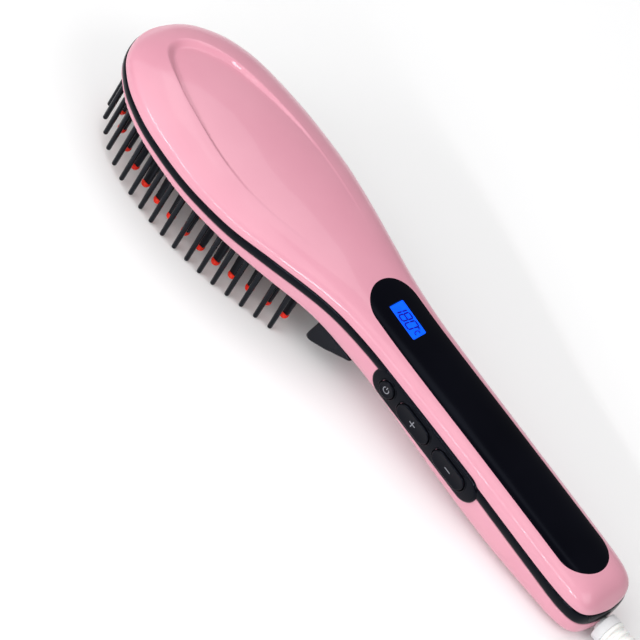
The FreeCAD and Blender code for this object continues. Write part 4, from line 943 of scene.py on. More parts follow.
CAD_LOOKS = {
    "switch_plunger": finish("cad_plunger", (30, 30, 33), (40, 40, 44), rough=0.4, grain=0.06, mottle=260),
    "tact_switches": finish("cad_switch", (36, 37, 40), (58, 60, 64), rough=0.35, grain=0.05, mottle=220,
                            specks=(150, 152, 156), speck_size=700, speck_from=0.70),
    "board": finish("cad_board", (18, 84, 48), (26, 104, 60), rough=0.34, grain=0.08, mottle=160, specks=(196, 170, 96),
                    speck_size=520, speck_from=0.68, coat=0.3),
    "screws": finish("cad_screw_steel", (150, 152, 156), (176, 178, 182), rough=0.26, rough_to=0.42, grain=0.06, metal=1.0,
                     mottle=420, aniso=0.3),
    "triac": finish("cad_module", (24, 24, 26), (34, 34, 37), rough=0.5, grain=0.14, mottle=140, specks=(90, 90, 94),
                    speck_size=1400, speck_from=0.72),
    "plate": finish("cad_aluminium", (168, 170, 174), (190, 192, 196), rough=0.34, rough_to=0.5, grain=0.10, metal=1.0,
                    mottle=180, stretch=(0.3, 1.6, 1.0), aniso=0.4),
    "ceramic": finish("cad_ceramic", (206, 196, 176), (222, 214, 198), rough=0.6, grain=0.20, mottle=240,
                      specks=(150, 138, 118), speck_size=1600, speck_from=0.68),
    "mica": finish("cad_mica", (176, 150, 104), (204, 182, 140), rough=0.30, rough_to=0.5, grain=0.15, mottle=90,
                   specks=(236, 222, 190), speck_size=800, speck_from=0.64),
    "fuse": finish("cad_fuse", (226, 222, 212), (238, 235, 228), rough=0.45, grain=0.08, mottle=200),
    "wire": finish("cad_wire_sleeve", (196, 60, 44), (212, 76, 58), rough=0.5, grain=0.18, mottle=420, stretch=(0.3, 1, 1)),
    "mains": finish("cad_mains_wire", (60, 92, 168), (74, 106, 182), rough=0.45, grain=0.12, mottle=380, stretch=(0.3, 1, 1)),
    "socket": finish("cad_socket", (120, 120, 124), (136, 136, 140), rough=0.5, grain=0.16, mottle=200),
}
CAD_PICK = [("plunger", "switch_plunger"), ("tact_switches", "tact_switches"), ("board_screws", "screws"),
            ("screws", "screws"), ("key_board", "board"), ("main_board", "board"), ("triac", "triac"),
            ("heater_plate", "plate"), ("heater_clamp", "plate"), ("ptc", "ceramic"), ("mica", "mica"),
            ("thermal_fuse", "fuse"), ("ntc", "fuse"), ("heater_wires", "wire"), ("mains_wires", "mains"),
            ("swivel_socket", "socket")]
for node_name, node in NODES.items():
    look = next((CAD_LOOKS[v] for k, v in CAD_PICK if k in node_name), COMB)
    if not node.material_slots:
        node.data.materials.append(look)
    for slot_ in node.material_slots:
        slot_.material = look


def place_piece(obj, body, nodes):
    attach(obj, body)
    if nodes:
        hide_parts(*nodes)
    return obj


# ============================================================ shells
def rim_loop(skin, rho_max=0.45, spacing=1.0):
    """(f, a) once round the shell's rim, its height over the seam plane, and the roll radius."""
    x, w = skin.x, skin.w
    s = np.concatenate([[0], np.cumsum(np.hypot(np.diff(x), np.diff(w)))])
    n = int(round(s[-1] / spacing))
    f = np.interp(np.linspace(0, s[-1], n + 1), s, FF)
    r = skin.get("r", f)
    rho = np.minimum(rho_max, 0.35 * r)
    v = np.where(r > 1e-6, rho / np.maximum(r, 1e-6), 0.0)
    a = np.arcsin(np.clip(v ** (skin.get("p", f) / 2), 0, 1))
    a[0] = a[-1] = PI / 2
    rho[0] = rho[-1] = 0.0
    back = slice(-2, 0, -1)
    return (np.concatenate([f, f[back]]), np.concatenate([a, PI - a[back]])), np.concatenate([rho, rho[back]])[:, None]


def close_edge(shape, skin, plain, loop, rho, toward, thick, inner=None, steps=4):
    p, n = skin.pos(*loop), skin.normal(*loop)
    np_ = plain.normal(*loop)
    s = side_of(p, n, toward)
    rows = roll(p, n, s, rho, steps)
    shape.rows(rows)
    e = rows[-1][0]
    i1 = plain.pos(*loop) - thick * np_
    i2 = i1 + rho * s
    shape.rows([(e, s), (i2, s)])
    shape.rows([(i2, -n), (i1, -n)])
    return s


def unique_xy(points, cell):
    key = np.round(points / cell).astype(int)
    _, first = np.unique(key, axis=0, return_index=True)
    return points[np.sort(first)]


top = Skin(1, 0.4, face=True)
top_plain = Skin(1, 0.4)
low = Skin(-1, 0.4)
low.r = np.minimum(ramp_ends(low.r, 0.075), low.r)
low.r = soften(low.r, 0.02, True)
low.g["r"] = np.gradient(low.r, FF)

THICK = 1.9
STAD_A, STAD_B, STAD_R = 135.6, 241.0, 11.0
panel_hole = stadium((STAD_A + STAD_B) / 2, 0.0, (STAD_B - STAD_A) / 2, STAD_R, 0.9)
panel_edge = shrink(panel_hole, 0.13)
lcd_hole = rounded_rect(141.5, 0.0, 14.7, 7.5, 0.7, 4, 7)


def fa_loop(skin, xy):
    return skin.from_xy(xy[:, 0], xy[:, 1])


def build_top_shell():
    shape = Shape()
    rim, rho = rim_loop(top)
    hole = fa_loop(top, panel_hole)
    # extra rows where the sunken face bends
    extra = []
    ccw = FACE[::-1]
    for d in (0.02, 0.35, 0.7, 1.05, 1.4, 1.8, 2.3, 2.9, 3.6, 4.4):
        extra.append(shrink(ccw, d))
    extra = np.concatenate(extra)
    ok = inside_loop(extra, ccw) & (edge_distance(extra, ccw) < 4.6)
    extra = unique_xy(extra[ok], 0.45)
    ef, ea = top.from_xy(extra[:, 0], extra[:, 1])
    v, n, tri = curved_patch(shape, top, rim, [hole], 1.15, extra=(ef, ea))
    shape.add(v, n, tri)
    vi, ni, ti = curved_patch(shape, top_plain, rim, [hole], 2.6, drop=THICK, extra=(ef[::3], ea[::3]))
    q = vi + ni * THICK
    vi[:, 2] -= face_depth(q[:, 0], q[:, 1])                           # the inner side follows the sunken face
    shape.add(vi, -ni, ti)
    close_edge(shape, top, top_plain, rim, rho, np.array([0, 0, -1.0]), THICK)
    p = top.pos(*hole)
    c = np.array([(STAD_A + STAD_B) / 2, 0, p[:, 2].mean()])
    close_edge(shape, top, top_plain, hole, 0.28, c - p, THICK)
    return place_piece(shape.build("back_shell", [PINK]), "root", ["top_shell"])


def build_panel():
    shape = Shape()
    edge = fa_loop(top_plain, panel_edge)
    window = fa_loop(top_plain, lcd_hole)
    v, n, tri = curved_patch(shape, top_plain, edge, [window], 1.2)
    shape.add(v, n, tri)
    vi, ni, ti = curved_patch(shape, top_plain, edge, [window], 3.0, drop=1.15)
    shape.add(vi, -ni, ti)
    p = top_plain.pos(*edge)
    c = np.array([(STAD_A + STAD_B) / 2, 0, p[:, 2].mean()])
    close_edge(shape, top_plain, top_plain, edge, 0.5, p - c, 1.15)
    q = top_plain.pos(*window)
    close_edge(shape, top_plain, top_plain, window, 0.12, q.mean(0) - q, 1.15)
    return place_piece(shape.build("glossy_panel", [PANEL]), "root", ["display_panel"])


def opening_outline(inset, x_end, bow, spacing=0.9):
    """Counter-clockwise in (x, y): the head's outline moved in, closed by a bowed neck end."""
    dx, dw = np.gradient(T_X, FF), np.gradient(T_W, FF)
    t = np.hypot(dx, dw)
    x = T_X + inset * dw / t
    w = np.maximum(T_W - inset * dx / t, 0)
    ok = (x <= x_end) & ((w > 1e-6) | (FF < 0.001))
    x, w = x[ok], w[ok]
    right = np.stack([x, -w], 1)                  # -y side, from the tip to the neck
    left = np.stack([x, w], 1)[::-1]
    ys = np.linspace(-w[-1], w[-1], 41)[1:-1]
    arc = np.stack([x_end + bow * (1 - (ys / w[-1]) ** 2), ys], 1)
    loop = np.concatenate([right, arc, left[:-1]])
    n = int(round(np.linalg.norm(np.roll(loop, -1, 0) - loop, axis=1).sum() / spacing))
    return resample(loop, n, closed=True)


def build_bottom_shell():
    shape = Shape()
    rim, rho = rim_loop(low)
    opening_xy = opening_outline(2.15, 119.2, 2.0)
    opening = fa_loop(low, opening_xy)
    sink = fa_loop(low, circle(222, 0, 3.1, 36))
    boss = fa_loop(low, circle(222, 0, 3.9, 36))
    pts, tri_, _ = None, None, None
    v, n, tri = curved_patch(shape, low, rim, [opening, sink, POD_CUT], 1.25)
    shape.add(v, n, tri)
    vi, ni, ti = curved_patch(shape, low, rim, [opening, boss, POD_CUT], 2.8, drop=THICK)
    shape.add(vi, -ni, ti)
    close_edge(shape, low, low, rim, rho, np.array([0, 0, 1.0]), THICK)
    p = low.pos(*opening)
    close_edge(shape, low, low, opening, 0.35, p.mean(0) - p, THICK)
    q = low.pos(*POD_CUT)
    close_edge(shape, low, low, POD_CUT, 0.2, q.mean(0) - q, THICK)
    # screw pocket with its boss
    p, nn = low.pos(*sink), low.normal(*sink)
    s = side_of(p, nn, p.mean(0) - p)
    rows = roll(p, nn, s, 0.3)
    shape.rows(rows)
    e = rows[-1][0]
    floor = e.copy()
    floor[:, 2] = 3.6
    shape.rows([(e, s), (floor, s)])
    shape.disc(floor, floor.mean(0), np.array([0, 0, -1.0]))
    b = low.pos(*boss) - THICK * low.normal(*boss)
    bs = b - b.mean(0)
    bs[:, 2] = 0
    bs /= np.linalg.norm(bs, axis=1, keepdims=True)
    roof = b.copy()
    roof[:, 2] = 4.8
    shape.rows([(b, bs), (roof, bs)])
    shape.disc(roof, roof.mean(0), np.array([0, 0, 1.0]))
    # flat land that the butt rests on
    plate(shape, Plane((239, 0, 0), (1, 0, 0), (0, -1, 0)), rounded_rect(0, 0, 8, 15, 1.5, 5, 6), [], 0.0, -1.3, 0.35, 0.05)
    return place_piece(shape.build("lower_shell", [PINK]), "root", ["bottom_shell"])


# ============================================================ key pod
TILT = math.radians(6.4)
POD_U = np.array([math.cos(TILT), 0, -math.sin(TILT)])
POD_V = np.array([math.sin(TILT), 0, math.cos(TILT)])
POD_FACE = Plane((176.0, -16.4, 19.6), POD_U, POD_V)
KEYS = {"power": (-20.7, 0.0, 3.4), "plus": (-5.6, 4.7, 3.6), "minus": (14.7, 4.7, 3.6)}


def pod_cut_loop():
    """Opening of the lower shell behind the pod, kept below the rim."""
    uv = stadium(0, 0, 22.65, 4.9, 1.1)
    xz = np.stack([176.0 + uv[:, 0] * POD_U[0] + uv[:, 1] * POD_V[0], 19.6 + uv[:, 0] * POD_U[2] + uv[:, 1] * POD_V[2]], 1)
    f = np.interp(xz[:, 0], low.x, FF)
    ceiling = low.get("zb", f) - 1.35
    z = np.minimum(xz[:, 1], ceiling)
    z = np.where(xz[:, 1] > ceiling, ceiling - 0.02 * (xz[:, 1] - ceiling), z)
    return low.from_xz(xz[:, 0], z, np.ones(len(z), bool))


POD_CUT = pod_cut_loop()


def build_pod():
    shape = Shape()
    holes = []
    for u, half, r in KEYS.values():
        holes.append(stadium(u, 0, half, r + 0.25, 0.55) if half else circle(u, 0, r + 0.25, 40))

    def crown(u, v):
        return -0.42 * (v / 6.1) ** 2

    plate(shape, POD_FACE, stadium(0, 0, 22.65, 6.1, 0.8), holes, 0.0, -1.8, 1.25, 0.1, h=1.0, hole_r=0.35, dome=crown,
          steps=5)
    # raised collar round each key
    for u, half, r in KEYS.values():
        r_in, r_out = r + 0.27, r + 0.85
        cross = [(r_in, -0.6), (r_in, 0.12), (r_in + 0.08, 0.27), (r_in + 0.22, 0.34), (r_in + 0.38, 0.30), (r_out - 0.08, 0.14),
                 (r_out, -0.1), (r_out, -0.6)]
        rows = []
        for rad, w in cross:
            lp = stadium(u, 0, half, rad, 0.1) if False else None
            n_arc = 26
            q1 = -PI / 2 + PI * np.arange(n_arc) / (n_arc - 1)
            q2 = PI / 2 + PI * np.arange(n_arc) / (n_arc - 1)
            lp = np.concatenate([np.stack([u + half + rad * np.cos(q1), rad * np.sin(q1)], 1),
                                 np.stack([u - half + rad * np.cos(q2), rad * np.sin(q2)], 1)])
            lift = crown(lp[:, 0], lp[:, 1])
            rows.append(POD_FACE.at(lp, w + lift))
        sweep(shape, rows, along_closed=True)
    return place_piece(shape.build("key_pod", [BLACK]), "root", ["button_pod"])


def build_key(name, u, half, r, body, node):
    shape = Shape()
    loop = stadium(u, 0, half, r, 0.5) if half else circle(u, 0, r, 44)

    def crown(a, b):
        d = np.hypot(np.maximum(np.abs(a - u) - half, 0), b)
        return 0.22 * (np.minimum(d / r, 1.0)) ** 2 - 0.22

    plate(shape, POD_FACE, loop, [], 0.9, -3.0, 0.55, 0.15, h=0.55, dome=crown, steps=5)
    ring = stadium(u, 0, half, r + 0.8, 0.6) if half else circle(u, 0, r + 0.8, 44)
    plate(shape, POD_FACE, ring, [], -2.0, -3.0, 0.15, 0.1)
    top_w = 0.9 - 0.22
    marks = []
    if name == "power":
        q = np.radians(np.linspace(-232, 52, 30))
        rad, t = 1.25, 0.17
        outer = np.stack([u + (rad + t) * np.cos(q), (rad + t) * np.sin(q)], 1)
        inner = np.stack([u + (rad - t) * np.cos(q[::-1]), (rad - t) * np.sin(q[::-1])], 1)
        marks.append(np.concatenate([outer, inner]))
        marks.append(rounded_rect(u, 1.05, 0.34, 1.5, 0.15, 4, 4))
    elif name == "plus":
        b, t = 1.45, 0.2
        marks.append(np.array([(u + x, y) for x, y in [(t, -b), (t, -t), (b, -t), (b, t), (t, t), (t, b), (-t, b), (-t, t),
                                                       (-b, t), (-b, -t), (-t, -t), (-t, -b)]]))
    else:
        marks.append(rounded_rect(u, 0, 2.9, 0.4, 0.18, 4, 6))
    for m in marks:
        prism(shape, POD_FACE, m, top_w - 0.12, top_w + 0.05, mat=1)
    return place_piece(shape.build(name + "_key", [BLACK, ICON]), body, [node])


# ============================================================ trim
def build_trim():
    shape = Shape()
    dx, dw = np.gradient(T_X, FF), np.gradient(T_W, FF)
    t = np.hypot(dx, dw)
    s = np.concatenate([[0], np.cumsum(np.hypot(np.diff(T_X), np.diff(T_W)))])

    def samples(s0, s1):
        n = max(2, int(round(abs(s1 - s0) / 1.0)))
        return np.interp(np.linspace(s0, s1, n + 1), s, FF)

    s_of = lambda x: float(np.interp(x, T_X, s))
    part1 = samples(s_of(201.0), s[-1])
    part2 = samples(s[-1], 0.0)
    part3 = samples(0.0, s_of(152.0))
    f = np.concatenate([part1, part2[1:], part3[1:]])
    side = np.concatenate([-np.ones(len(part1)), np.ones(len(part2) - 1), -np.ones(len(part3) - 1)])
    hh = np.interp(f, FF, T_TH) / 2 - 0.04
    section = []
    for q in np.linspace(-1, 1, 15):
        e = math.sin(q * PI / 2)
        section.append((0.03 + 0.95 * (1 - max(0.0, 1 - abs(e) ** 2.5) ** 0.4), e))
    section += [(1.8, 1.0), (2.7, 0.9), (2.8, 0.6), (2.8, -0.6), (2.7, -0.9), (1.8, -1.0)]
    rows = []
    for inset, e in section:
        x = np.interp(f, FF, T_X + inset * dw / t)
        w = np.maximum(np.interp(f, FF, T_W - inset * dx / t), 0)
        z = np.interp(f, FF, T_SEAM) + e * hh
        rows.append(np.stack([x, side * w, z], 1))
    sweep(shape, rows)
    return place_piece(shape.build("seam_trim", [BLACK]), "root", ["trim_band"])


# ============================================================ comb, pins and teeth
def belly_at(x):
    return np.interp(angle(x), FF, T_BELLY)


def inset_rows(inset, x_end, count):
    e = 0.004
    f_end = float(angle(x_end))
    rows = []
    wa = monotone(HALF_WIDTH)
    W = lambda f: float(np.interp(f, FF, wa))
    X = lambda f: L * (1 - math.cos(f)) / 2
    for k in range(count):
        f = f_end * (0.02 + 0.98 * k / (count - 1))
        dx = L * (math.cos(f - e) - math.cos(f + e)) / 2
        dw = W(f + e) - W(max(0.0, f - e))
        t = math.hypot(dx, dw)
        rows.append((X(f) + inset * dw / t, W(f) - inset * dx / t))
    rows = [r for r in rows if r[1] > 0.8]
    return [(inset, 0.0)] + rows


def walk(inset, pitch, x_end, start):
    side = inset_rows(inset, x_end, 90)
    out, acc, want = [], 0.0, start
    for (x0, y0), (x1, y1) in zip(side, side[1:]):
        seg = math.hypot(x1 - x0, y1 - y0)
        while seg > 0 and acc + seg >= want:
            q = (want - acc) / seg
            out.append((x0 + (x1 - x0) * q, y0 + (y1 - y0) * q))
            want += pitch
        acc += seg
    return out


PIN_XY = [(x, s * y) for x, y in walk(4.6, 6.3, 111.0, 3.2) for s in (-1, 1)]
TEETH_XY = [(x, s * y) for x, y in walk(9.0, 7.6, 113.0, 3.6) for s in (-1, 1)]
for x_, ys_ in [(27, (0,)), (38, (-9.5, 0, 9.5)), (49, (-5, 5)), (60, (-12, 0, 12)), (71, (-6, 6)), (82, (-9.5, 0, 9.5)),
                (93, (-5, 5)), (104, (0,))]:
    TEETH_XY += [(x_, y_) for y_ in ys_]


def tip_lift(x):
    """The tips of pins and teeth rise towards the head's tip."""
    return 5.5 * max(0.0, 1 - x / 55.0) ** 2


def plate_z(x):
    return 32.0 - (x - 16.0) * math.tan(math.radians(4.14))


def build_comb():
    shape = Shape()
    outer = opening_outline(2.3, 119.0, 2.0, 1.0)
    holes = [stadium(x, y, 0.9, 1.6, 0.6) for x, y in TEETH_XY]
    flip = lambda q: np.stack([q[:, 0], -q[:, 1]], 1)[::-1]
    plate(shape, Plane((0, 0, 0), (1, 0, 0), (0, -1, 0)), flip(outer), [flip(q) for q in holes], -0.7, -2.9, 0.4, 0.1, h=2.2,
          hole_r=0.45, steps=4)
    # small foot under every pin
    for x, y in PIN_XY:
        lathe(shape, (x, y, 1.4), (0, 0, -1), [(0, 0.0), (0, 1.75), (0.75, 1.75), (1.0, 1.6), (1.35, 1.25), (1.7, 1.12),
                                               (1.7, 0.0)], seg=18)
    for i, v in enumerate(shape.v):
        v = v.copy()
        slope = (belly_at(v[:, 0] + 0.2) - belly_at(v[:, 0] - 0.2)) / 0.4
        v[:, 2] += belly_at(v[:, 0])
        n = shape.n[i].copy()
        n[:, 0] = n[:, 0] - slope * n[:, 2]
        shape.v[i], shape.n[i] = v, n
    return place_piece(shape.build("comb_frame", [COMB]), "root", ["comb_plate"])


def build_pins():
    shape = Shape()
    for x, y in PIN_XY:
        root = float(belly_at(x)) + 1.9
        h = root - tip_lift(x)
        q = np.linspace(0, PI / 2, 6)
        prof = [(0, 0), (0, 1.12), (2.6, 1.10), (h * 0.5, 1.0), (h - 0.9, 0.92)]
        prof += [(h - 0.86 + 0.86 * math.sin(t), 0.06 + 0.86 * math.cos(t)) for t in q[1:]]
        prof.append((h, 0.0))
        lathe(shape, (x, y, root), (0, 0, -1), prof, seg=20)
    return place_piece(shape.build("long_pins", [PINS]), "root", ["guard_bristles"])


def build_teeth():
    shape = Shape()
    tips = Shape()
    for x, y in TEETH_XY:
        top_z = plate_z(x) + 0.6
        lift = tip_lift(x)
        end = 6.2 + lift
        m = 28
        q = np.arange(m) * 2 * PI / m
        ux = np.sign(np.cos(q)) * np.abs(np.cos(q)) ** 0.6 * 2.1
        uy = np.sign(np.sin(q)) * np.abs(np.sin(q)) ** 0.6 * 1.2
        rows = []
        for t, z in [(0.0, top_z), (0.0, top_z - 0.01), (0.35, top_z * 0.65 + end * 0.35), (0.7, top_z * 0.3 + end * 0.7),
                     (0.97, end + 0.4), (1.0, end)]:
            sx, sy = 1 - 0.28 * t, 1 - 0.14 * t
            rows.append(np.stack([x + ux * sx, y + uy * sy, np.full(m, z)], 1))
        rows = np.array(rows)
        nrm = np.stack([np.cos(q) * 0.55, np.sin(q), np.zeros(m)], 1)
        nrm[:, 0] = np.sign(np.cos(q)) * np.abs(np.cos(q)) ** 1.4 / 2.1
        nrm[:, 1] = np.sign(np.sin(q)) * np.abs(np.sin(q)) ** 1.4 / 1.2
        nrm /= np.linalg.norm(nrm, axis=1, keepdims=True)
        shape.rows([(r, nrm) for r in rows[1:]])
        shape.disc(rows[1], rows[1].mean(0), np.array([0, 0, 1.0]))
        shape.disc(rows[-1], rows[-1].mean(0), np.array([0, 0, -1.0]))
        prof = [(0, 0.0), (0, 1.25), (0.08, 1.45), (0.3, 1.6), (0.7, 1.72), (1.15, 1.75)]
        prof += [(1.15 + 1.75 * math.sin(t), 1.75 * math.cos(t)) for t in np.linspace(0, PI / 2, 8)[1:]]
        lathe(tips, (x, y, 6.9 + lift), (0, 0, -1), prof, seg=24)
    place_piece(shape.build("flat_teeth", [TEETH_M]), "root", ["heating_teeth"])
    place_piece(tips.build("orange_tips", [TIPS]), "root", ["tooth_tips"])


def build_guard():
    shape = Shape()
    key = [(118.35, 9.4), (118.25, 8.5), (118.7, 7.6), (119.6, 7.0), (120.7, 7.0), (121.8, 7.45)]
    poly = [(120.4, 20.4), (119.9, 17.4), (119.2, 13.8)] + key + [(127.0, 9.6), (133.0, 12.05), (136.4, 13.45),
                                                                  (137.4, 14.2), (136.6, 15.0), (130.0, 17.2), (124.0, 19.2)]
    pts = resample(np.array(poly), 120, closed=True)
    for _ in range(2):
        pts = (np.roll(pts, 1, 0) + 2 * pts + np.roll(pts, -1, 0)) / 4
    area = (pts[:, 0] * np.roll(pts[:, 1], -1) - np.roll(pts[:, 0], -1) * pts[:, 1]).sum()
    if area < 0:
        pts = pts[::-1]
    plane = Plane((0, 0, 0), (1, 0, 0), (0, 0, 1))           # outward is -y
    plate(shape, plane, pts, [], 15.4, -15.4, 1.1, 1.1, h=None, steps=5)
    # long front rib
    rib = []
    for k in range(16):
        q = 2 * PI * k / 16
        rib.append((119.75 + 1.55 * math.cos(q), 8.15 + 1.35 * math.sin(q)))
    rib = np.array(rib)
    plate(shape, plane, rib, [], 15.0, -15.0, 0.7, 0.7, steps=4)
    dx, dw = np.gradient(T_X, FF), np.gradient(T_W, FF)
    for i, v in enumerate(shape.v):
        v = v.copy()
        half = np.minimum(15.5, np.interp(v[:, 0], T_X, T_W) - 2.9) / 15.5
        v[:, 1] *= half
        shape.v[i] = v
    obj = shape.build("neck_wedge", [GUARD])
    cutter_shape = Shape()
    lathe(cutter_shape, (129, 0, 4), (0, 0, 1), [(0, 0), (0, 3.1), (10.6, 3.1), (10.6, 0)], seg=40)
    cutter = cutter_shape.build("cutter", [GUARD])
    mod = obj.modifiers.new("sink", "BOOLEAN")
    mod.operation, mod.solver, mod.object = "DIFFERENCE", "EXACT", cutter
    bpy.context.view_layer.update()
    dg = bpy.context.evaluated_depsgraph_get()
    mesh = bpy.data.meshes.new_from_object(obj.evaluated_get(dg))
    obj.modifiers.clear()
    obj.data = mesh
    mesh.set_sharp_from_angle(angle=math.radians(38))
    bpy.data.objects.remove(cutter)
    return place_piece(obj, "root", ["neck_guard"])


# ============================================================ gland, tie and plug
def build_gland():
    shape = Shape()
    prof = round_profile([(262.4, 0.0), (262.4, 3.1), (263.7, 3.1), (263.7, 5.55), (267.5, 5.55), (267.5, 0.0)], 0.45)
    lathe(shape, (0, 0, 6.2), (1, 0, 0), prof, seg=48)
    place_piece(shape.build("gland_collar", [GREY]), "cord_gland", ["cord_swivel"])
    sleeve = Shape()
    prof = [(267.4, 0.0), (267.4, 4.6)]
    n = 11
    for i in range(n):
        x0 = 267.5 + 3.05 * i
        r = 5.5 - 1.2 * i / (n - 1)
        base = 4.6 - 0.8 * (x0 + 2.4 - 267.5) / 33.5
        if i:
            prof += [(x0 - 0.15, base)]
        prof += [(x0 + 0.05, r - 0.3), (x0 + 0.3, r - 0.05), (x0 + 0.55, r), (x0 + 1.15, r), (x0 + 1.4, r - 0.05),
                 (x0 + 1.65, r - 0.3), (x0 + 1.85, base)]
    prof += [(300.6, 3.85), (301.0, 3.6), (301.0, 3.15), (296.0, 3.15), (296.0, 0.0)]
    lathe(sleeve, (0, 0, 6.2), (1, 0, 0), prof, seg=44)
    place_piece(sleeve.build("ribbed_sleeve", [SLEEVE]), "cord_gland", ["strain_relief"])


def build_tie():
    shape = Shape()
    path = rounded_rect(338.1, 6.9, 32.0, 12.2, 3.2, 8, 14)
    n = loop_normals(path)
    rows = []
    hw, th = 3.4, 0.42
    for q in np.linspace(0, 2 * PI, 20, endpoint=False):
        c, s = math.cos(q), math.sin(q)
        a = math.copysign(abs(c) ** 0.35, c) * hw
        b = math.copysign(abs(s) ** 0.6, s) * th
        rows.append(np.stack([path[:, 0] + n[:, 0] * b, np.full(len(path), 14.0 + a), path[:, 1] + n[:, 1] * b], 1))
    sweep(shape, rows, along_closed=True)
    return place_piece(shape.build("coil_strap", [STRAP]), "root", ["cord_tie"])


PLUG_Y, PLUG_DX = 47.2, -10.5


def shift(shape, dx):
    shape.v = [v + np.array([dx, 0.0, 0.0]) for v in shape.v]


def build_plug():
    shape = Shape()
    m = 64
    rows = []
    stations = [(291.0, 9.2, 5.7), (291.25, 9.7, 6.4), (291.9, 10.15, 6.95), (292.8, 10.3, 7.15), (296, 10.3, 7.15),
                (303, 10.3, 7.15), (307, 10.1, 7.1), (310, 9.3, 7.0), (312.4, 7.6, 6.85), (314.2, 5.2, 6.65),
                (315.3, 2.6, 6.4), (316.0, 0.3, 6.0)]
    for x, half, r in stations:
        q = np.arange(m) * 2 * PI / m
        c, s = np.cos(q), np.sin(q)
        rows.append(np.stack([np.full(m, x), PLUG_Y + np.sign(c) * np.minimum(1, np.abs(c) * 6) * half + r * c,
                              7.2 + r * s * 0.995], 1))
    r = np.array(rows)
    dk = np.gradient(r, axis=0)
    dm = np.roll(r, -1, 1) - np.roll(r, 1, 1)
    n = np.cross(dm, dk)
    n /= np.maximum(np.linalg.norm(n, axis=2, keepdims=True), 1e-9)
    if ((r - np.array([304, PLUG_Y, 7.2])) * n).sum() < 0:
        n = -n
    shape.rows([(r[k], n[k]) for k in range(len(r))])
    shape.disc(r[0], r[0].mean(0), np.array([-1.0, 0, 0]))
    shape.disc(r[-1], r[-1].mean(0), np.array([1.0, 0, 0]))
    # finger grooves on the broad sides
    prof = [(315.2, 0.0), (315.2, 6.2)]
    for i in range(7):
        x0 = 316.0 + 3.0 * i
        rr = 6.1 - 2.0 * (i / 7.0)
        prof += [(x0, rr - 0.15), (x0 + 0.3, rr), (x0 + 1.5, rr), (x0 + 1.8, rr - 0.15), (x0 + 1.95, rr - 0.9), (x0 + 2.75, rr - 1.0)]
    prof += [(337.4, 3.75), (338.0, 3.45), (338.0, 3.1), (334.5, 3.1), (334.5, 0.0)]
    lathe(shape, (0, PLUG_Y, 7.2), (1, 0, 0), prof, seg=40)
    shift(shape, PLUG_DX)
    plug = place_piece(shape.build("plug_moulding", [PLUG]), "root", ["plug_body"])
    pins = Shape()
    for y in (PLUG_Y - 9.3, PLUG_Y + 9.3):
        lathe(pins, (299, y, 7.2), (-1, 0, 0), round_profile([(0, 0), (0, 1.98), (17.0, 1.98), (17.0, 1.82)], 0.15)[:-1]
              + [(17.0, 1.80), (24.8, 1.80), (26.0, 1.55), (26.7, 1.0), (27.0, 0.0)], seg=28)
    shift(pins, PLUG_DX)
    prongs = place_piece(pins.build("plug_prongs", [NICKEL]), "root", ["plug_pins"])
    return plug, prongs


# ============================================================ display
def build_display():
    t = math.radians(9.0)
    z_top = float(at(T_SEAM, 141.5) + np.interp(angle(141.5), FF, T_CROWN)) - 0.32
    plane = Plane((141.5, 0, z_top), (math.cos(t), 0, -math.sin(t)), (0, 1, 0))
    shape = Shape()
    plate(shape, plane, rounded_rect(0, 0, 14.3, 7.1, 0.5, 4, 6), [], 0.0, -3.0, 0.15, 0.1)
    place_piece(shape.build("lcd_screen", [LCD]), "root", ["lcd_display"])
    digits = Shape()
    w, h, s = 2.55, 4.8, 0.30

    def bar(a, b, ox):
        a, b = np.array(a, float), np.array(b, float)
        d = (b - a) / np.linalg.norm(b - a)
        n = np.array([-d[1], d[0]])
        g = 0.06
        p = [a + d * g, a + d * (g + s) - n * s, b - d * (g + s) - n * s, b - d * g, b - d * (g + s) + n * s,
             a + d * (g + s) + n * s]
        out = []
        for q in p:
            out.append((ox + q[0] + 0.16 * q[1], q[1]))
        return np.array(out)

    c = {"a": ((0, h), (w, h)), "b": ((w, h / 2), (w, h)), "c": ((w, 0), (w, h / 2)), "d": ((0, 0), (w, 0)),
         "e": ((0, 0), (0, h / 2)), "f": ((0, h / 2), (0, h)), "g": ((0, h / 2), (w, h / 2))}
    for ox, segs in [(-6.5, "bc"), (-2.95, "abcdefg"), (0.6, "abcdef")]:
        for k in segs:
            loop = bar(*c[k], ox)
            loop[:, 1] -= h / 2
            prism(digits, plane, loop, -0.1, 0.06)
    # unit sign: small ring and an open letter
    ring_o = circle(4.55, 1.95, 0.50, 20)
    prism(digits, plane, ring_o, -0.1, 0.06, holes=[circle(4.55, 1.95, 0.22, 20)])
    q = np.radians(np.linspace(48, 312, 22))
    cx_, cy_ = 5.65, 0.0
    outer = np.stack([cx_ + 0.92 * np.cos(q), cy_ + 1.35 * np.sin(q)], 1)
    inner = np.stack([cx_ + 0.52 * np.cos(q[::-1]), cy_ + 0.95 * np.sin(q[::-1])], 1)
    prism(digits, plane, np.concatenate([outer, inner]), -0.1, 0.06)
    place_piece(digits.build("lcd_digits", [LCD_DARK]), "root", [])


# ============================================================ build
cord.data.materials.append(LEAD)
place_piece(cord, "root", ["power_cord", "cord_tail", "cord_coil"])
build_top_shell()
build_bottom_shell()
build_panel()
build_trim()
build_pod()
for key_name, key_body in (("power", "power_key"), ("plus", "plus_key"), ("minus", "minus_key")):
    build_key(key_name, *KEYS[key_name], key_body, key_name + "_button")
build_comb()
build_pins()
build_teeth()
build_guard()
build_gland()
strap = build_tie()
plug, prongs = build_plug()
build_display()


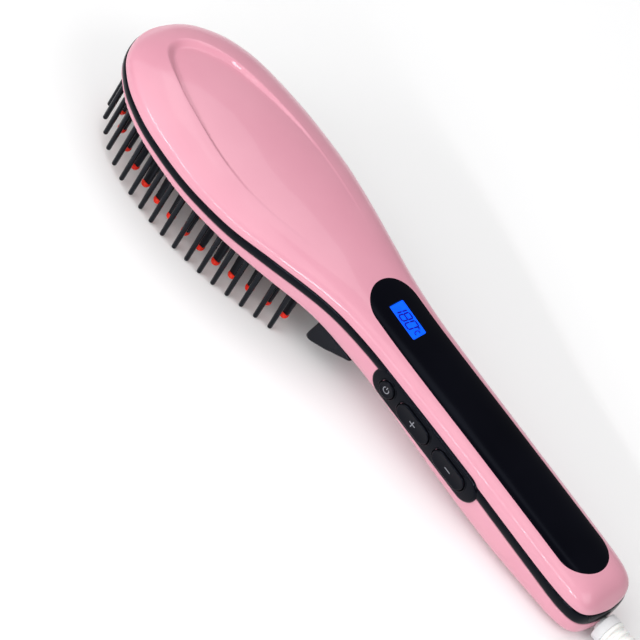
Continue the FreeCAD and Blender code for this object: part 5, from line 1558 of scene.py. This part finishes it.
# ============================================================ studio
def floor_material():
    m = bpy.data.materials.new("studio_floor")
    m.use_nodes = True
    nt = m.node_tree
    b = nt.nodes["Principled BSDF"]
    where = nt.nodes.new("ShaderNodeTexCoord")
    noise = nt.nodes.new("ShaderNodeTexNoise")
    noise.inputs["Scale"].default_value = 3.0
    ramp = nt.nodes.new("ShaderNodeValToRGB")
    ramp.color_ramp.elements[0].color = (0.90, 0.90, 0.905, 1)
    ramp.color_ramp.elements[1].color = (0.93, 0.93, 0.93, 1)
    nt.links.new(where.outputs["Object"], noise.inputs["Vector"])
    nt.links.new(noise.outputs["Fac"], ramp.inputs["Fac"])
    nt.links.new(ramp.outputs["Color"], b.inputs["Base Color"])
    b.inputs["Roughness"].default_value = 0.9
    b.inputs["Specular IOR Level"].default_value = 0.1
    return m


def add_floor():
    mesh = bpy.data.meshes.new("floor")
    s = 12.0
    mesh.from_pydata([(-s, -s, 0), (s, -s, 0), (s, s, 0), (-s, s, 0)], [], [(0, 1, 2, 3)])
    obj = bpy.data.objects.new("floor", mesh)
    scene.collection.objects.link(obj)
    mesh.materials.append(floor_material())
    obj.location = (0, 0, -0.0002)


def area(name, direction, distance, size, power, target=(0.0, 0.0, 0.02), shape_y=None, colour=(1, 1, 1)):
    data = bpy.data.lights.new(name, "AREA")
    data.shape = "RECTANGLE"
    data.size = size
    data.size_y = shape_y or size
    data.energy = power
    data.color = colour
    obj = bpy.data.objects.new(name, data)
    scene.collection.objects.link(obj)
    d = Vector(direction).normalized()
    t = Vector(target)
    obj.location = t + d * distance
    obj.rotation_euler = (-d).to_track_quat("-Z", "Y").to_euler()
    obj.visible_camera = False
    return obj


add_floor()
area("key", (-0.80, -0.50, 1.12), 1.7, 2.3, 23.8)
area("overhead", (-0.30, 0.30, 0.92), 1.9, 1.0, 4.5)
area("fill_right", (0.9, -0.3, 0.9), 1.9, 1.3, 10.5)
area("streak", (0.27, -0.89, 0.31), 1.6, 0.40, 4.5, target=(-0.04, -0.02, 0.03), shape_y=0.14)
area("front_strip", (-0.25, -0.86, 0.43), 1.6, 1.5, 7.0, shape_y=0.05)
world = bpy.data.worlds.new("studio") if scene.world is None else scene.world
scene.world = world
world.use_nodes = True
world.node_tree.nodes["Background"].inputs["Color"].default_value = (1.0, 1.0, 1.0, 1.0)
world.node_tree.nodes["Background"].inputs["Strength"].default_value = 0.33
scene.view_settings.view_transform = "Standard"
scene.view_settings.look = "None"
scene.view_settings.exposure = 0.0
scene.view_settings.gamma = 1.0
